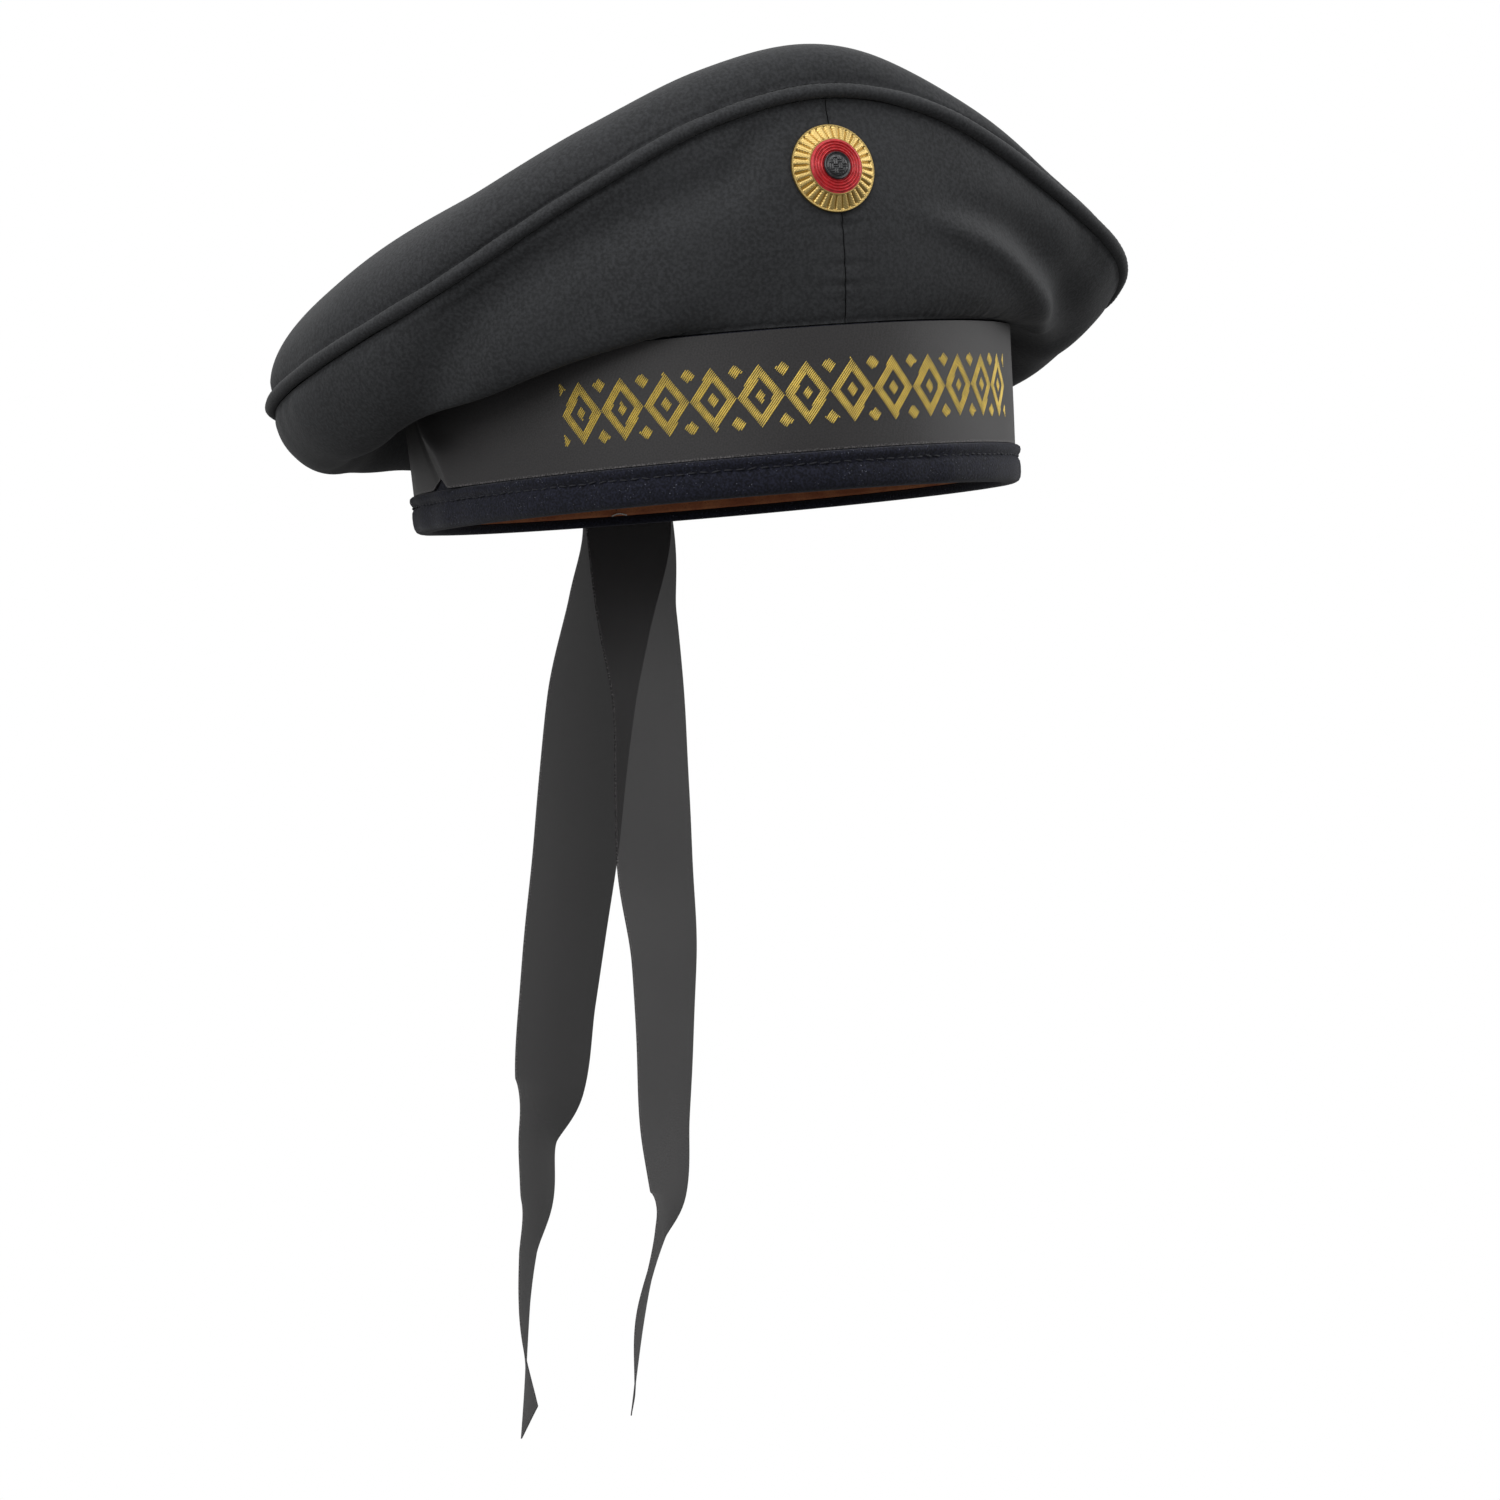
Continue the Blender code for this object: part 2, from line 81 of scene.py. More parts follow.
def smooth(knots: Sequence[float], rows: Array, at: Array, period: float = 0.0) -> Array:
    """Values on the smooth curve through the rows of a table.

    Args:
        knots: Where each row stands, growing.
        rows: One row of values for each knot.
        at: Where the values are wanted, in an array of any shape.
        period: The length after which the table starts again, or 0 where it has two ends.

    Returns:
        An array with the shape of at, and the table's columns last.
    """
    knots, rows = np.asarray(knots, float), np.asarray(rows, float)
    if period:
        at = knots[0] + (at - knots[0]) % period
        knots = np.concatenate([knots[-1:] - period, knots, knots[:2] + period])
        rows = np.concatenate([rows[-1:], rows, rows[:2]])
    else:
        knots = np.concatenate([knots[:1], knots, knots[-1:]])
        rows = np.concatenate([rows[:1], rows, rows[-1:]])
    low = np.clip(np.searchsorted(knots, at, side="right") - 1, 1, len(knots) - 3)
    span = knots[low + 1] - knots[low]
    before, after = knots[low] - knots[low - 1], knots[low + 2] - knots[low + 1]
    t = ((at - knots[low]) / span)[..., None]
    rise_low = (rows[low + 1] - rows[low - 1]) * (span / (span + before))[..., None]
    rise_high = (rows[low + 2] - rows[low]) * (span / (span + after))[..., None]
    return (
        (2 * t**3 - 3 * t**2 + 1) * rows[low]
        + (t**3 - 2 * t**2 + t) * rise_low
        + (3 * t**2 - 2 * t**3) * rows[low + 1]
        + (t**3 - t**2) * rise_high
    )


def bezier(points: Sequence[Array], t: Array) -> Array:
    """Points of the Bezier curves with these control points.

    Args:
        points: Arrays of control points, that have their coordinates last.
        t: How far along its curve each point lies, with one axis of length 1 last.

    Returns:
        The points.
    """
    degree = len(points) - 1
    return sum(p * (math.comb(degree, i) * t**i * (1 - t) ** (degree - i)) for i, p in enumerate(points))


def unevenness(points: Array, wavelength: float, seed: int) -> Array:
    """A smooth random height for each point, mostly between -1 and 1, the same on every run."""
    rng = np.random.default_rng(seed)
    directions = unit(rng.normal(size=(WAVES, 3))) * rng.uniform(0.6, 1.6, size=(WAVES, 1))
    phases = rng.uniform(0, 2 * math.pi, WAVES)
    waves = np.sin(points @ directions.T * (2 * math.pi / wavelength) + phases)
    return waves.sum(-1) / math.sqrt(WAVES)


def polar(angle: Array) -> Array:
    """Directions out from the axis."""
    turn = np.radians(angle)
    return np.stack([np.sin(turn), -np.cos(turn), np.zeros_like(turn)], -1)


UP = np.array([0.0, 0.0, 1.0])


@dataclass
class Patch:
    """A grid of points that becomes a piece of cloth, with the cloth's own measure on it."""

    points: Array  # rows, columns, 3
    cloth: Array  # rows, columns, 2: metres along and across the cloth
    loop: bool = False  # the last column is the first one again

    def normals(self) -> Array:
        """The outward direction at each point."""
        points = self.points
        if self.loop:
            points = np.concatenate([points[:, -2:-1], points, points[:, 1:2]], axis=1)
        across, along = np.gradient(points, axis=0), np.gradient(points, axis=1)
        out = unit(np.cross(along, across))
        return out[:, 1:-1] if self.loop else out

    def moved(self, height: Array) -> "Patch":
        """The same patch, with each point moved out by its height."""
        return Patch(self.points + self.normals() * height[..., None], self.cloth, self.loop)

    def mesh(self, name: str, wall: float) -> bpy.types.Mesh:
        """A closed mesh whose outer face is this patch.

        Args:
            name: The mesh's name.
            wall: The cloth's thickness, on the inner side.

        Returns:
            The mesh, with its measure in the UV map.
        """
        rows, columns = self.points.shape[:2]
        shared = columns - 1 if self.loop else columns
        outer = self.points[:, :shared]
        inner = outer - self.normals()[:, :shared] * wall
        i, j = (a.ravel() for a in np.meshgrid(np.arange(rows - 1), np.arange(columns - 1), indexing="ij"))
        corners = np.stack([np.stack([i, j]), np.stack([i, j + 1]), np.stack([i + 1, j + 1]), np.stack([i + 1, j])])
        places = [corners]
        layers = [np.zeros((4, len(i)), int)]
        places.append(corners[::-1])
        layers.append(np.ones((4, len(i)), int))
        for edge, along_columns in ((0, True), (rows - 1, True), (0, False), (columns - 1, False)):
            if self.loop and not along_columns:
                continue
            k = np.arange((columns if along_columns else rows) - 1)
            fixed = np.full_like(k, edge)
            a = np.stack([fixed, k] if along_columns else [k, fixed])
            b = np.stack([fixed, k + 1] if along_columns else [k + 1, fixed])
            flip = (edge == 0) != along_columns
            rim = np.stack([a, b, b, a] if flip else [b, a, a, b])
            places.append(rim)
            layers.append(np.repeat([[0], [0], [1], [1]], len(k), axis=1))
        place = np.concatenate(places, axis=2)
        layer = np.concatenate(layers, axis=1)
        index = layer * (rows * shared) + place[:, 0] * shared + place[:, 1] % shared
        mesh = bpy.data.meshes.new(name)
        corner_points = np.concatenate([outer.reshape(-1, 3), inner.reshape(-1, 3)])
        mesh.from_pydata(corner_points.tolist(), [], index.T.tolist())
        measure = mesh.uv_layers.new(name=CLOTH_MAP)
        values = self.cloth[place[:, 0], place[:, 1]].transpose(1, 0, 2)
        measure.uv.foreach_set("vector", np.ascontiguousarray(values, np.float32).ravel())
        smooth_shaded(mesh)
        return mesh


def smooth_shaded(mesh: bpy.types.Mesh) -> None:
    """Shades a mesh smooth, apart from its sharp edges."""
    mesh.shade_smooth()
    mesh.set_sharp_from_angle(angle=SHARP)


def joined(name: str, parts: Sequence[tuple[Array, Array, Array]]) -> bpy.types.Mesh:
    """One mesh of many small ones.

    Args:
        name: The mesh's name.
        parts: The points, the faces with four corners each and the cloth's measure of each part.

    Returns:
        The mesh.
    """
    starts = np.cumsum([0] + [len(points) for points, _, _ in parts])
    points = np.concatenate([points for points, _, _ in parts])
    faces = np.concatenate([faces + start for (_, faces, _), start in zip(parts, starts)])
    cloth = np.concatenate([cloth for _, _, cloth in parts])
    mesh = bpy.data.meshes.new(name)
    mesh.from_pydata(points.tolist(), [], faces.tolist())
    measure = mesh.uv_layers.new(name=CLOTH_MAP)
    measure.uv.foreach_set("vector", cloth[faces].astype(np.float32).ravel())
    smooth_shaded(mesh)
    return mesh


def strand(path: Array, out: Array, widths: Array, heights: Array, sides: int = 6) -> tuple[Array, Array, Array]:
    """A thread laid along a path, with closed ends.

    Args:
        path: The points that it follows.
        out: The direction in which it stands up, at each point.
        widths: Half its width at each point.
        heights: Half its height at each point.
        sides: The number of facets round it.

    Returns:
        Its points, its faces and the cloth's measure, for joined().
    """
    along = unit(np.gradient(path, axis=0))
    aside = unit(np.cross(along, out))
    upright = np.cross(aside, along)
    turns = np.arange(sides) * (2 * math.pi / sides)
    ring = aside[:, None] * (np.cos(turns)[:, None] * widths[:, None, None]) + upright[:, None] * (
        np.sin(turns)[:, None] * heights[:, None, None]
    )
    points = (path[:, None] + ring).reshape(-1, 3)
    count = len(path)
    length = np.concatenate([[0], np.cumsum(np.linalg.norm(np.diff(path, axis=0), axis=1))])
    cloth = np.stack(np.meshgrid(length, turns, indexing="ij"), -1).reshape(-1, 2)
    i, j = (a.ravel() for a in np.meshgrid(np.arange(count - 1), np.arange(sides), indexing="ij"))
    k = (j + 1) % sides
    faces = np.stack([i * sides + j, (i + 1) * sides + j, (i + 1) * sides + k, i * sides + k], 1)
    fan = [[0, k, k + 1, k + 2] for k in range(0, sides - 2, 2)]
    first = [[corner % sides for corner in quad] for quad in fan]
    last = [[(count - 1) * sides + corner % sides for corner in reversed(quad)] for quad in fan]
    return points, np.concatenate([faces, first, last]), cloth


def place(
    mesh: bpy.types.Mesh | bpy.types.Curve,
    material: bpy.types.Material,
    slot: Slot,
    replaces: Sequence[str] = (),
) -> bpy.types.Object:
    """Adds a piece of the cap to the scene.

    Args:
        mesh: Its mesh, which gives it its name.
        material: Its finish.
        slot: The record's slot that the finish stands for. Not used.
        replaces: The nodes of the part that it stands for.

    Returns:
        The piece.
    """
    piece = bpy.data.objects.new(mesh.name, mesh)
    bpy.context.scene.collection.objects.link(piece)
    mesh.materials.append(material)
    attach(piece, "root")
    if replaces:
        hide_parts(*replaces)
    log.info("built %s with %d faces", piece.name, len(mesh.polygons))
    return piece


def linear(red: int, green: int, blue: int) -> Colour:
    """A colour in linear light, from its bytes on a screen."""
    return tuple(((c / 255 + 0.055) / 1.055) ** 2.4 if c > 10 else c / 255 / 12.92 for c in (red, green, blue))


class Value:
    """A number that varies over a surface: one socket, with arithmetic that adds Math nodes."""

    def __init__(self, nodes: "Nodes", socket: bpy.types.NodeSocket) -> None:
        """Wraps a socket of a tree."""
        self.nodes = nodes
        self.socket = socket

    def math(self, operation: str, *others: "Value | float") -> "Value":
        """The result of a Math node whose first value is this one."""
        node = self.nodes.add("Math", {"operation": operation}, dict(enumerate((self, *others))))
        return Value(self.nodes, node.outputs[0])

    def __add__(self, other: "Value | float") -> "Value":
        """This value and another."""
        return self.math("ADD", other)

    __radd__ = __add__

    def __sub__(self, other: "Value | float") -> "Value":
        """This value less another."""
        return self.math("SUBTRACT", other)

    def __rsub__(self, other: float) -> "Value":
        """A number less this value."""
        return self * -1 + other

    def __mul__(self, other: "Value | float") -> "Value":
        """This value times another."""
        return self.math("MULTIPLY", other)

    __rmul__ = __mul__

    def __truediv__(self, other: "Value | float") -> "Value":
        """This value over another."""
        return self.math("DIVIDE", other)

    def __pow__(self, other: "Value | float") -> "Value":
        """This value to a power."""
        return self.math("POWER", other)

    def waves(self, pitch: float) -> "Value":
        """Waves from 0 to 1 along this value, a pitch apart."""
        return (self * (2 * math.pi / pitch)).math("SINE") * 0.5 + 0.5

    def step(self, low: float, high: float) -> "Value":
        """A soft step of this value, 0 at low and 1 at high."""
        node = self.nodes.add(
            "MapRange", {"interpolation_type": "SMOOTHSTEP"}, {"Value": self, "From Min": low, "From Max": high}
        )
        return Value(self.nodes, node.outputs[0])


Number = Value | float


class Nodes:
    """The node tree of one material, built round its Principled shader."""

    def __init__(self, name: str) -> None:
        """Makes the material."""
        self.material = bpy.data.materials.new(name)
        self.material.use_nodes = True
        self.tree = self.material.node_tree
        self.shader = self.tree.nodes["Principled BSDF"]

    def put(self, socket: bpy.types.NodeSocket, value: object) -> None:
        """Links a value to a socket, or sets the socket to a number or colour."""
        if isinstance(value, Value):
            self.tree.links.new(value.socket, socket)
        elif isinstance(value, bpy.types.NodeSocket):
            self.tree.links.new(value, socket)
        elif isinstance(value, tuple) and len(value) < len(socket.default_value):
            socket.default_value = (*value, 1.0)
        else:
            socket.default_value = value

    def add(self, kind: str, settings: dict[str, object], sockets: dict[str | int, object]) -> bpy.types.Node:
        """Adds a node.

        Args:
            kind: Its type, without the words that all types start with.
            settings: What is set first, such as a Math node's operation. Stops are a ramp's.
            sockets: Values or links, by the socket's name or number.

        Returns:
            The node.
        """
        node = self.tree.nodes.new("ShaderNode" + kind)
        for name, value in settings.items():
            if name == "stops":
                while len(node.color_ramp.elements) < len(value):
                    node.color_ramp.elements.new(1.0)
                for element, (position, colour) in zip(node.color_ramp.elements, value):
                    element.position = position
                    element.color = (*colour, 1.0)
            else:
                setattr(node, name, value)
        for name, value in sockets.items():
            self.put(node.inputs[name], value)
        return node

    def spot(self, stretch: Colour = (1.0, 1.0, 1.0)) -> bpy.types.NodeSocket:
        """The place in the cap's frame, scaled along each axis."""
        here = self.add("TexCoord", {}, {}).outputs["Object"]
        if stretch == (1.0, 1.0, 1.0):
            return here
        return self.add("VectorMath", {"operation": "MULTIPLY"}, {0: here, 1: stretch}).outputs[0]

    def cloth(self) -> tuple[Value, Value]:
        """Metres along and across the cloth."""
        measure = self.add("UVMap", {"uv_map": CLOTH_MAP}, {}).outputs[0]
        parts = self.add("SeparateXYZ", {}, {0: measure})
        return Value(self, parts.outputs[0]), Value(self, parts.outputs[1])

    def noise(self, grain: float, detail: float = 2.0, stretch: Colour = (1.0, 1.0, 1.0)) -> Value:
        """Noise from 0 to 1 whose blots are about one grain wide."""
        settings = {"noise_dimensions": "3D"}
        sockets = {"Vector": self.spot(stretch), "Scale": 1 / grain, "Detail": detail}
        return Value(self, self.add("TexNoise", settings, sockets).outputs[0])

    def woven_noise(self, along: float, across: float, detail: float = 1.0) -> Value:
        """Noise in the cloth's own measure, with blots of this length and width."""
        s, v = self.cloth()
        vector = self.add("CombineXYZ", {}, {0: s / along, 1: v / across}).outputs[0]
        node = self.add("TexNoise", {"noise_dimensions": "2D"}, {"Vector": vector, "Scale": 1.0, "Detail": detail})
        return Value(self, node.outputs[0])

    def cells(self, size: float, feature: str = "F1") -> Value:
        """The distance to the middle of the nearest cell, 0 there."""
        sockets = {"Vector": self.spot(), "Scale": 1 / size}
        return Value(self, self.add("TexVoronoi", {"feature": feature}, sockets).outputs["Distance"])

    def mix(self, share: Number, first: object, second: object) -> bpy.types.NodeSocket:
        """A colour between two, by a share of the second."""
        node = self.add("Mix", {"data_type": "RGBA"}, {0: share, 6: first, 7: second})
        return node.outputs[2]

    def bump(self, height: Value, depth: float) -> bpy.types.NodeSocket:
        """The surface's direction, changed by a height from 0 to 1 of this depth in metres."""
        sockets = {"Strength": 1.0, "Distance": depth, "Height": height}
        return self.add("Bump", {}, sockets).outputs[0]

    def shade(self, **sockets: object) -> bpy.types.Material:
        """Sets sockets of the shader, named in small letters with underscores.

        Returns:
            The finished material.
        """
        for name, value in sockets.items():
            words = name.replace("_", " ").title().replace("Ior", "IOR")
            self.put(self.shader.inputs[words], value)
        return self.material


@dataclass(frozen=True)
class Wool:
    """Dark wool cloth with a short nap."""

    name: str
    shade: Colour = (0.0235, 0.0245, 0.0265)
    light: float = 1.45  # how much paler the tips of the nap are
    grain: float = 1.0 * MM
    relief: float = 0.16 * MM

    def material(self) -> bpy.types.Material:
        """The finish."""
        nodes = Nodes(self.name)
        nap = nodes.noise(self.grain, 2.5)
        fuzz = nodes.noise(self.grain * 0.35, 2.0)
        drift = nodes.noise(34 * MM, 2.0)
        height = nap * 0.7 + fuzz * 0.3
        pale = tuple(c * self.light for c in self.shade)
        dim = tuple(c * 0.72 for c in self.shade)
        body = nodes.mix(nap.step(0.30, 0.72), dim, pale)
        worn = nodes.mix(drift.step(0.35, 0.75) * 0.30, body, pale)
        return nodes.shade(
            base_color=worn,
            roughness=0.86 - 0.1 * fuzz,
            normal=nodes.bump(height, self.relief),
            specular_ior_level=0.28,
            sheen_weight=0.06,
            sheen_roughness=0.45,
        )


@dataclass(frozen=True)
class Melton:
    """Navy melton, felted and dense, with lint on it."""

    name: str
    shade: Colour = (0.0085, 0.0092, 0.0165)
    lint: Colour = (0.16, 0.17, 0.21)

    def material(self) -> bpy.types.Material:
        """The finish."""
        nodes = Nodes(self.name)
        felt = nodes.noise(0.7 * MM, 3.0)
        fluff = nodes.noise(0.45 * MM, 1.0)
        where = nodes.noise(3.2 * MM, 1.0)
        body = nodes.mix(felt.step(0.35, 0.7), tuple(c * 0.55 for c in self.shade), tuple(c * 1.8 for c in self.shade))
        specks = fluff.step(0.69, 0.76) * where.step(0.42, 0.62)
        return nodes.shade(
            base_color=nodes.mix(specks, body, self.lint),
            roughness=0.95,
            normal=nodes.bump(felt + specks * 0.4, 0.22 * MM),
            specular_ior_level=0.2,
            sheen_weight=0.10,
            sheen_roughness=0.5,
        )


@dataclass(frozen=True)
class Silk:
    """Black ribbon silk with a fine cross rib."""

    name: str
    shade: Colour = (0.020, 0.0185, 0.0190)
    rib: float = 0.42 * MM
    relief: float = 0.05 * MM
    roughness: float = 0.50
    gloss: float = 0.55
    cover: float = 1.0  # share of the light that the weave stops, for one face of it

    def material(self) -> bpy.types.Material:
        """The finish."""
        nodes = Nodes(self.name)
        along, across = nodes.cloth()
        slub = nodes.woven_noise(0.55 * MM, 5 * MM, 2.0)
        fleck = nodes.woven_noise(0.5 * MM, 0.5 * MM, 1.0)
        drift = nodes.woven_noise(24 * MM, 14 * MM, 2.0)
        ribs = along.waves(self.rib)
        height = ribs * 0.5 + slub * 0.2 + fleck * 0.3
        dim, pale = (tuple(c * k for c in self.shade) for k in (0.78, 1.35))
        body = nodes.mix(fleck.step(0.3, 0.7), dim, pale)
        worn = nodes.mix(drift.step(0.4, 0.8) * 0.25, body, tuple(c * 1.5 for c in self.shade))
        # Pale flecks along the edge where the cloth's measure across starts (the band ribbon's lower edge): partly
        # frayed pale threads, partly a painted highlight where that edge catches the light.
        selvedge_fray_and_highlight = across.step(0.3 * MM, 0.9 * MM) * (-1) + 1
        fray_and_highlight_colour = nodes.mix(selvedge_fray_and_highlight * fleck.step(0.48, 0.62), worn, tuple(c * 5 for c in self.shade))
        nodes.shade(
            base_color=fray_and_highlight_colour,
            roughness=self.roughness + 0.12 * fleck,
            normal=nodes.bump(height, self.relief),
            specular_ior_level=self.gloss,
        )
        if self.cover < 1:
            nodes.shade(alpha=self.cover)
        return nodes.material


@dataclass(frozen=True)
class GoldThread:
    """Gold-coloured thread, twisted and slightly worn."""

    name: str
    shade: Colour = (0.72, 0.50, 0.065)

    def material(self) -> bpy.types.Material:
        """The finish."""
        nodes = Nodes(self.name)
        along, turn = nodes.cloth()
        twist = (along * 7000 + turn).math("SINE") * 0.5 + 0.5
        wear = nodes.noise(2.4 * MM, 2.0)
        body = nodes.mix(wear.step(0.3, 0.75), tuple(c * 0.8 for c in self.shade), tuple(c * 1.15 for c in self.shade))
        return nodes.shade(
            base_color=nodes.mix(twist * 0.25, body, (0.95, 0.78, 0.30)),
            roughness=0.42 + 0.15 * wear,
            metallic=0.25,
            normal=nodes.bump(twist, 0.04 * MM),
        )


@dataclass(frozen=True)
class PlainThread:
    """Sewing thread of one colour."""

    name: str
    shade: Colour

    def material(self) -> bpy.types.Material:
        """The finish."""
        nodes = Nodes(self.name)
        along, turn = nodes.cloth()
        twist = (along * 9000 + turn).math("SINE") * 0.5 + 0.5
        dim = tuple(c * 0.7 for c in self.shade)
        return nodes.shade(
            base_color=nodes.mix(twist, dim, self.shade), roughness=0.7, normal=nodes.bump(twist, 0.04 * MM)
        )


@dataclass(frozen=True)
class Leather:
    """Tan sweatband leather with a pebbled grain."""

    name: str
    shade: Colour = (0.30, 0.085, 0.028)

    def material(self) -> bpy.types.Material:
        """The finish."""
        nodes = Nodes(self.name)
        pebbles = nodes.cells(0.9 * MM)
        pores = nodes.noise(0.5 * MM, 3.0)
        blotch = nodes.noise(9 * MM, 3.0)
        dim, pale = tuple(c * 0.55 for c in self.shade), (0.42, 0.15, 0.055)
        body = nodes.mix(blotch.step(0.3, 0.7), self.shade, pale)
        stained = nodes.mix(pores.step(0.5, 0.72) * 0.6, body, dim)
        return nodes.shade(
            base_color=stained,
            roughness=0.52 + 0.2 * pores,
            normal=nodes.bump(pebbles * 0.6 + pores * 0.4, 0.14 * MM),
            specular_ior_level=0.4,
        )


@dataclass(frozen=True)
class StampedGold:
    """Gilt brass with a fine stamped hatching."""

    name: str
    shade: Colour = (0.83, 0.60, 0.22)

    def material(self) -> bpy.types.Material:
        """The finish."""
        nodes = Nodes(self.name)
        turn, radius = nodes.cloth()
        hatch = (turn + radius).waves(0.75 * MM) * (turn - radius).waves(0.75 * MM)
        tarnish = nodes.noise(1.6 * MM, 3.0)
        body = nodes.mix(tarnish.step(0.35, 0.75), self.shade, (0.70, 0.44, 0.12))
        return nodes.shade(
            base_color=nodes.mix(hatch.step(0.1, 0.5) * 0.25, tuple(c * 0.7 for c in self.shade), body),
            roughness=0.24 + 0.2 * tarnish,
            metallic=1.0,
            normal=nodes.bump(hatch, 0.06 * MM),
        )


@dataclass(frozen=True)
class Lacquer:
    """Lacquered metal, with fine brush marks round it."""

    name: str
    shade: Colour
    pale: Colour
    metallic: float = 0.0

    def material(self) -> bpy.types.Material:
        """The finish."""
        nodes = Nodes(self.name)
        brushed = nodes.noise(0.35 * MM, 3.0)
        pooled = nodes.noise(1.3 * MM, 2.0)
        return nodes.shade(
            base_color=nodes.mix(pooled.step(0.35, 0.7), self.shade, self.pale),
            roughness=0.28 + 0.2 * brushed,
            metallic=self.metallic,
            coat_weight=0.5,
            coat_roughness=0.15,
            normal=nodes.bump(brushed, 0.03 * MM),
        )


@dataclass(frozen=True)
class HeadOval:
    """The egg-shaped head opening, and the band's walls that follow it."""

    round_length: float = 565 * MM
    ratio: float = 0.85  # width over length
    egg: float = 0.03  # how much the back is wider than the front
    flare: float = 2.0 * MM  # how much further out the band's top is than its foot
    band_height: float = 47.1 * MM
    fuller: float = 1.3 * MM  # how much further out the wall is on the wearer's left
    fuller_angle: float = 74.0
    fuller_spread: float = 42.0
    steps: int = 3600

    @property
    def half_length(self) -> float:
        """Half the length of the opening."""
        return self.round_length / (2 * math.pi * math.sqrt((1 + self.ratio**2) / 2))

    def out(self, angle: Array) -> Array:
        """The direction out of the wall."""
        turn = np.radians(angle)
        along_x = self.half_length * self.ratio * (np.cos(turn) - self.egg * np.cos(2 * turn))
        along_y = self.half_length * np.sin(turn)
        return unit(np.stack([along_y, -along_x, np.zeros_like(turn)], -1))

    def at(self, angle: Array, offset: Array | float, height: Array | float) -> Array:
        """Points of a wall.

        Args:
            angle: Where round the cap.
            offset: How far out from the opening, before the flare.
            height: How far above the rim.

        Returns:
            The points.
        """
        angle, offset, height = np.broadcast_arrays(angle, offset, height)
        turn = np.radians(angle)
        x = self.half_length * self.ratio * np.sin(turn) * (1 - self.egg * np.cos(turn))
        y = -self.half_length * np.cos(turn)
        foot = np.stack([x, y, height.astype(float)], -1)
        fuller = self.fuller * np.exp(-(((angle - self.fuller_angle) / self.fuller_spread) ** 2))
        return foot + self.out(angle) * (offset + fuller + self.flare * height / self.band_height)[..., None]

    def arcs(self, offset: float) -> tuple[Array, Array]:
        """Angles from -180 to 180, and how far round from the front each one is."""
        angles = np.linspace(-180, 180, self.steps + 1)
        steps = np.linalg.norm(np.diff(self.at(angles, offset, 0.0), axis=0), axis=1)
        travelled = np.concatenate([[0], np.cumsum(steps)])
        return angles, travelled - travelled[self.steps // 2]

    def angle_of(self, travelled: Array, offset: float) -> Array:
        """The angles at these distances round from the front."""
        angles, arcs = self.arcs(offset)
        return np.interp(travelled, arcs, angles)

    def arc_of(self, angle: Array, offset: float) -> Array:
        """The distances round from the front at these angles."""
        angles, arcs = self.arcs(offset)
        return np.interp(angle, angles, arcs)


OVAL = HeadOval()


class Section(NamedTuple):
    """The crown is lofted through these sections, all the way round. Sizes are in millimetres."""

    angle: float
    reach: float  # piping, out from the cap's axis
    height: float  # piping, above the rim
    lead_out: float  # how the side panel leaves the band
    lead_up: float
    hang_out: float  # middle of the side panel, from its lower seam
    hang_up: float
    edge_out: float  # how the side panel comes up to the piping
    edge_up: float
    puff_out: float  # how the top panel leaves the piping
    puff_up: float


SECTIONS = [
    Section(-150, 129, 38, 11, 1, 6, -40, 4, -17, 6, 22),
    Section(-115, 131, 41, 11, 1, 8, -47, 4, -17, 6, 25),
    Section(-90, 126, 50, 11, 1, 10, -50, 4, -17, 6, 28),
    Section(-65, 118, 66, 10, 0, 13, -38, 2, -16, 5, 30),
    Section(-40, 109, 90, 8, -2, 11, -8, 2, -20, 4, 30),
    Section(-20, 104, 107, 5, 6, 9, 20, 4, -20, 2, 30),
    Section(0, 103, 114, 4, 10, 7, 34, 4, -18, 1, 29),
    Section(20, 106, 107, 6, 4, 9, 20, 4, -18, 0, 24),
    Section(45, 115, 84, 8, -1, 12, 0, 2, -18, 0, 12),
    Section(66, 127, 65, 9, -1, 10, -8, -12, -13, 1, 8),
    Section(90, 130, 52, 11, 1, 12, -20, -8, -14, 3, 12),
    Section(120, 132, 43, 11, 1, 8, -36, 3, -17, 4, 16),
    Section(165, 130, 38, 11, 1, 6, -40, 4, -17, 5, 20),
]


class Knot(NamedTuple):
    """A place on a crease of the side panels. Level 0 is the band, 1 the piping."""

    angle: float
    level: float
    spread: float  # half width, in millimetres
    depth: float  # in millimetres, above 0 for a ridge


CREASES = {
    "long valley under the piping": [
        Knot(-9, 0.95, 3.0, -0.3),
        Knot(-14, 0.87, 4.5, -1.8),
        Knot(-18, 0.80, 6.5, -2.4),
        Knot(-26, 0.82, 7.0, -2.4),
        Knot(-36, 0.86, 7.0, -2.8),
        Knot(-48, 0.88, 8.0, -3.6),
        Knot(-58, 0.86, 9.0, -4.6),
        Knot(-66, 0.76, 10.0, -5.0),
        Knot(-73, 0.60, 10.0, -3.6),
        Knot(-82, 0.42, 10.0, -1.4),
    ],
    "ridge on the wearer's left": [
        Knot(15, 0.57, 4.0, 0.3),
        Knot(22, 0.57, 4.0, 1.5),
        Knot(30, 0.58, 4.5, 2.4),
        Knot(37, 0.57, 5.0, 2.8),
        Knot(44, 0.54, 5.0, 2.8),
        Knot(54, 0.48, 5.0, 2.4),
        Knot(66, 0.38, 5.0, 1.2),
    ],
    "valley over that ridge": [
        Knot(22, 0.68, 5.0, -0.5),
        Knot(29, 0.70, 6.0, -2.2),
        Knot(36, 0.73, 7.0, -3.6),
        Knot(43, 0.73, 8.0, -4.6),
        Knot(51, 0.70, 8.0, -4.6),
        Knot(62, 0.66, 8.0, -3.6),
        Knot(76, 0.64, 8.0, -1.6),
    ],
}


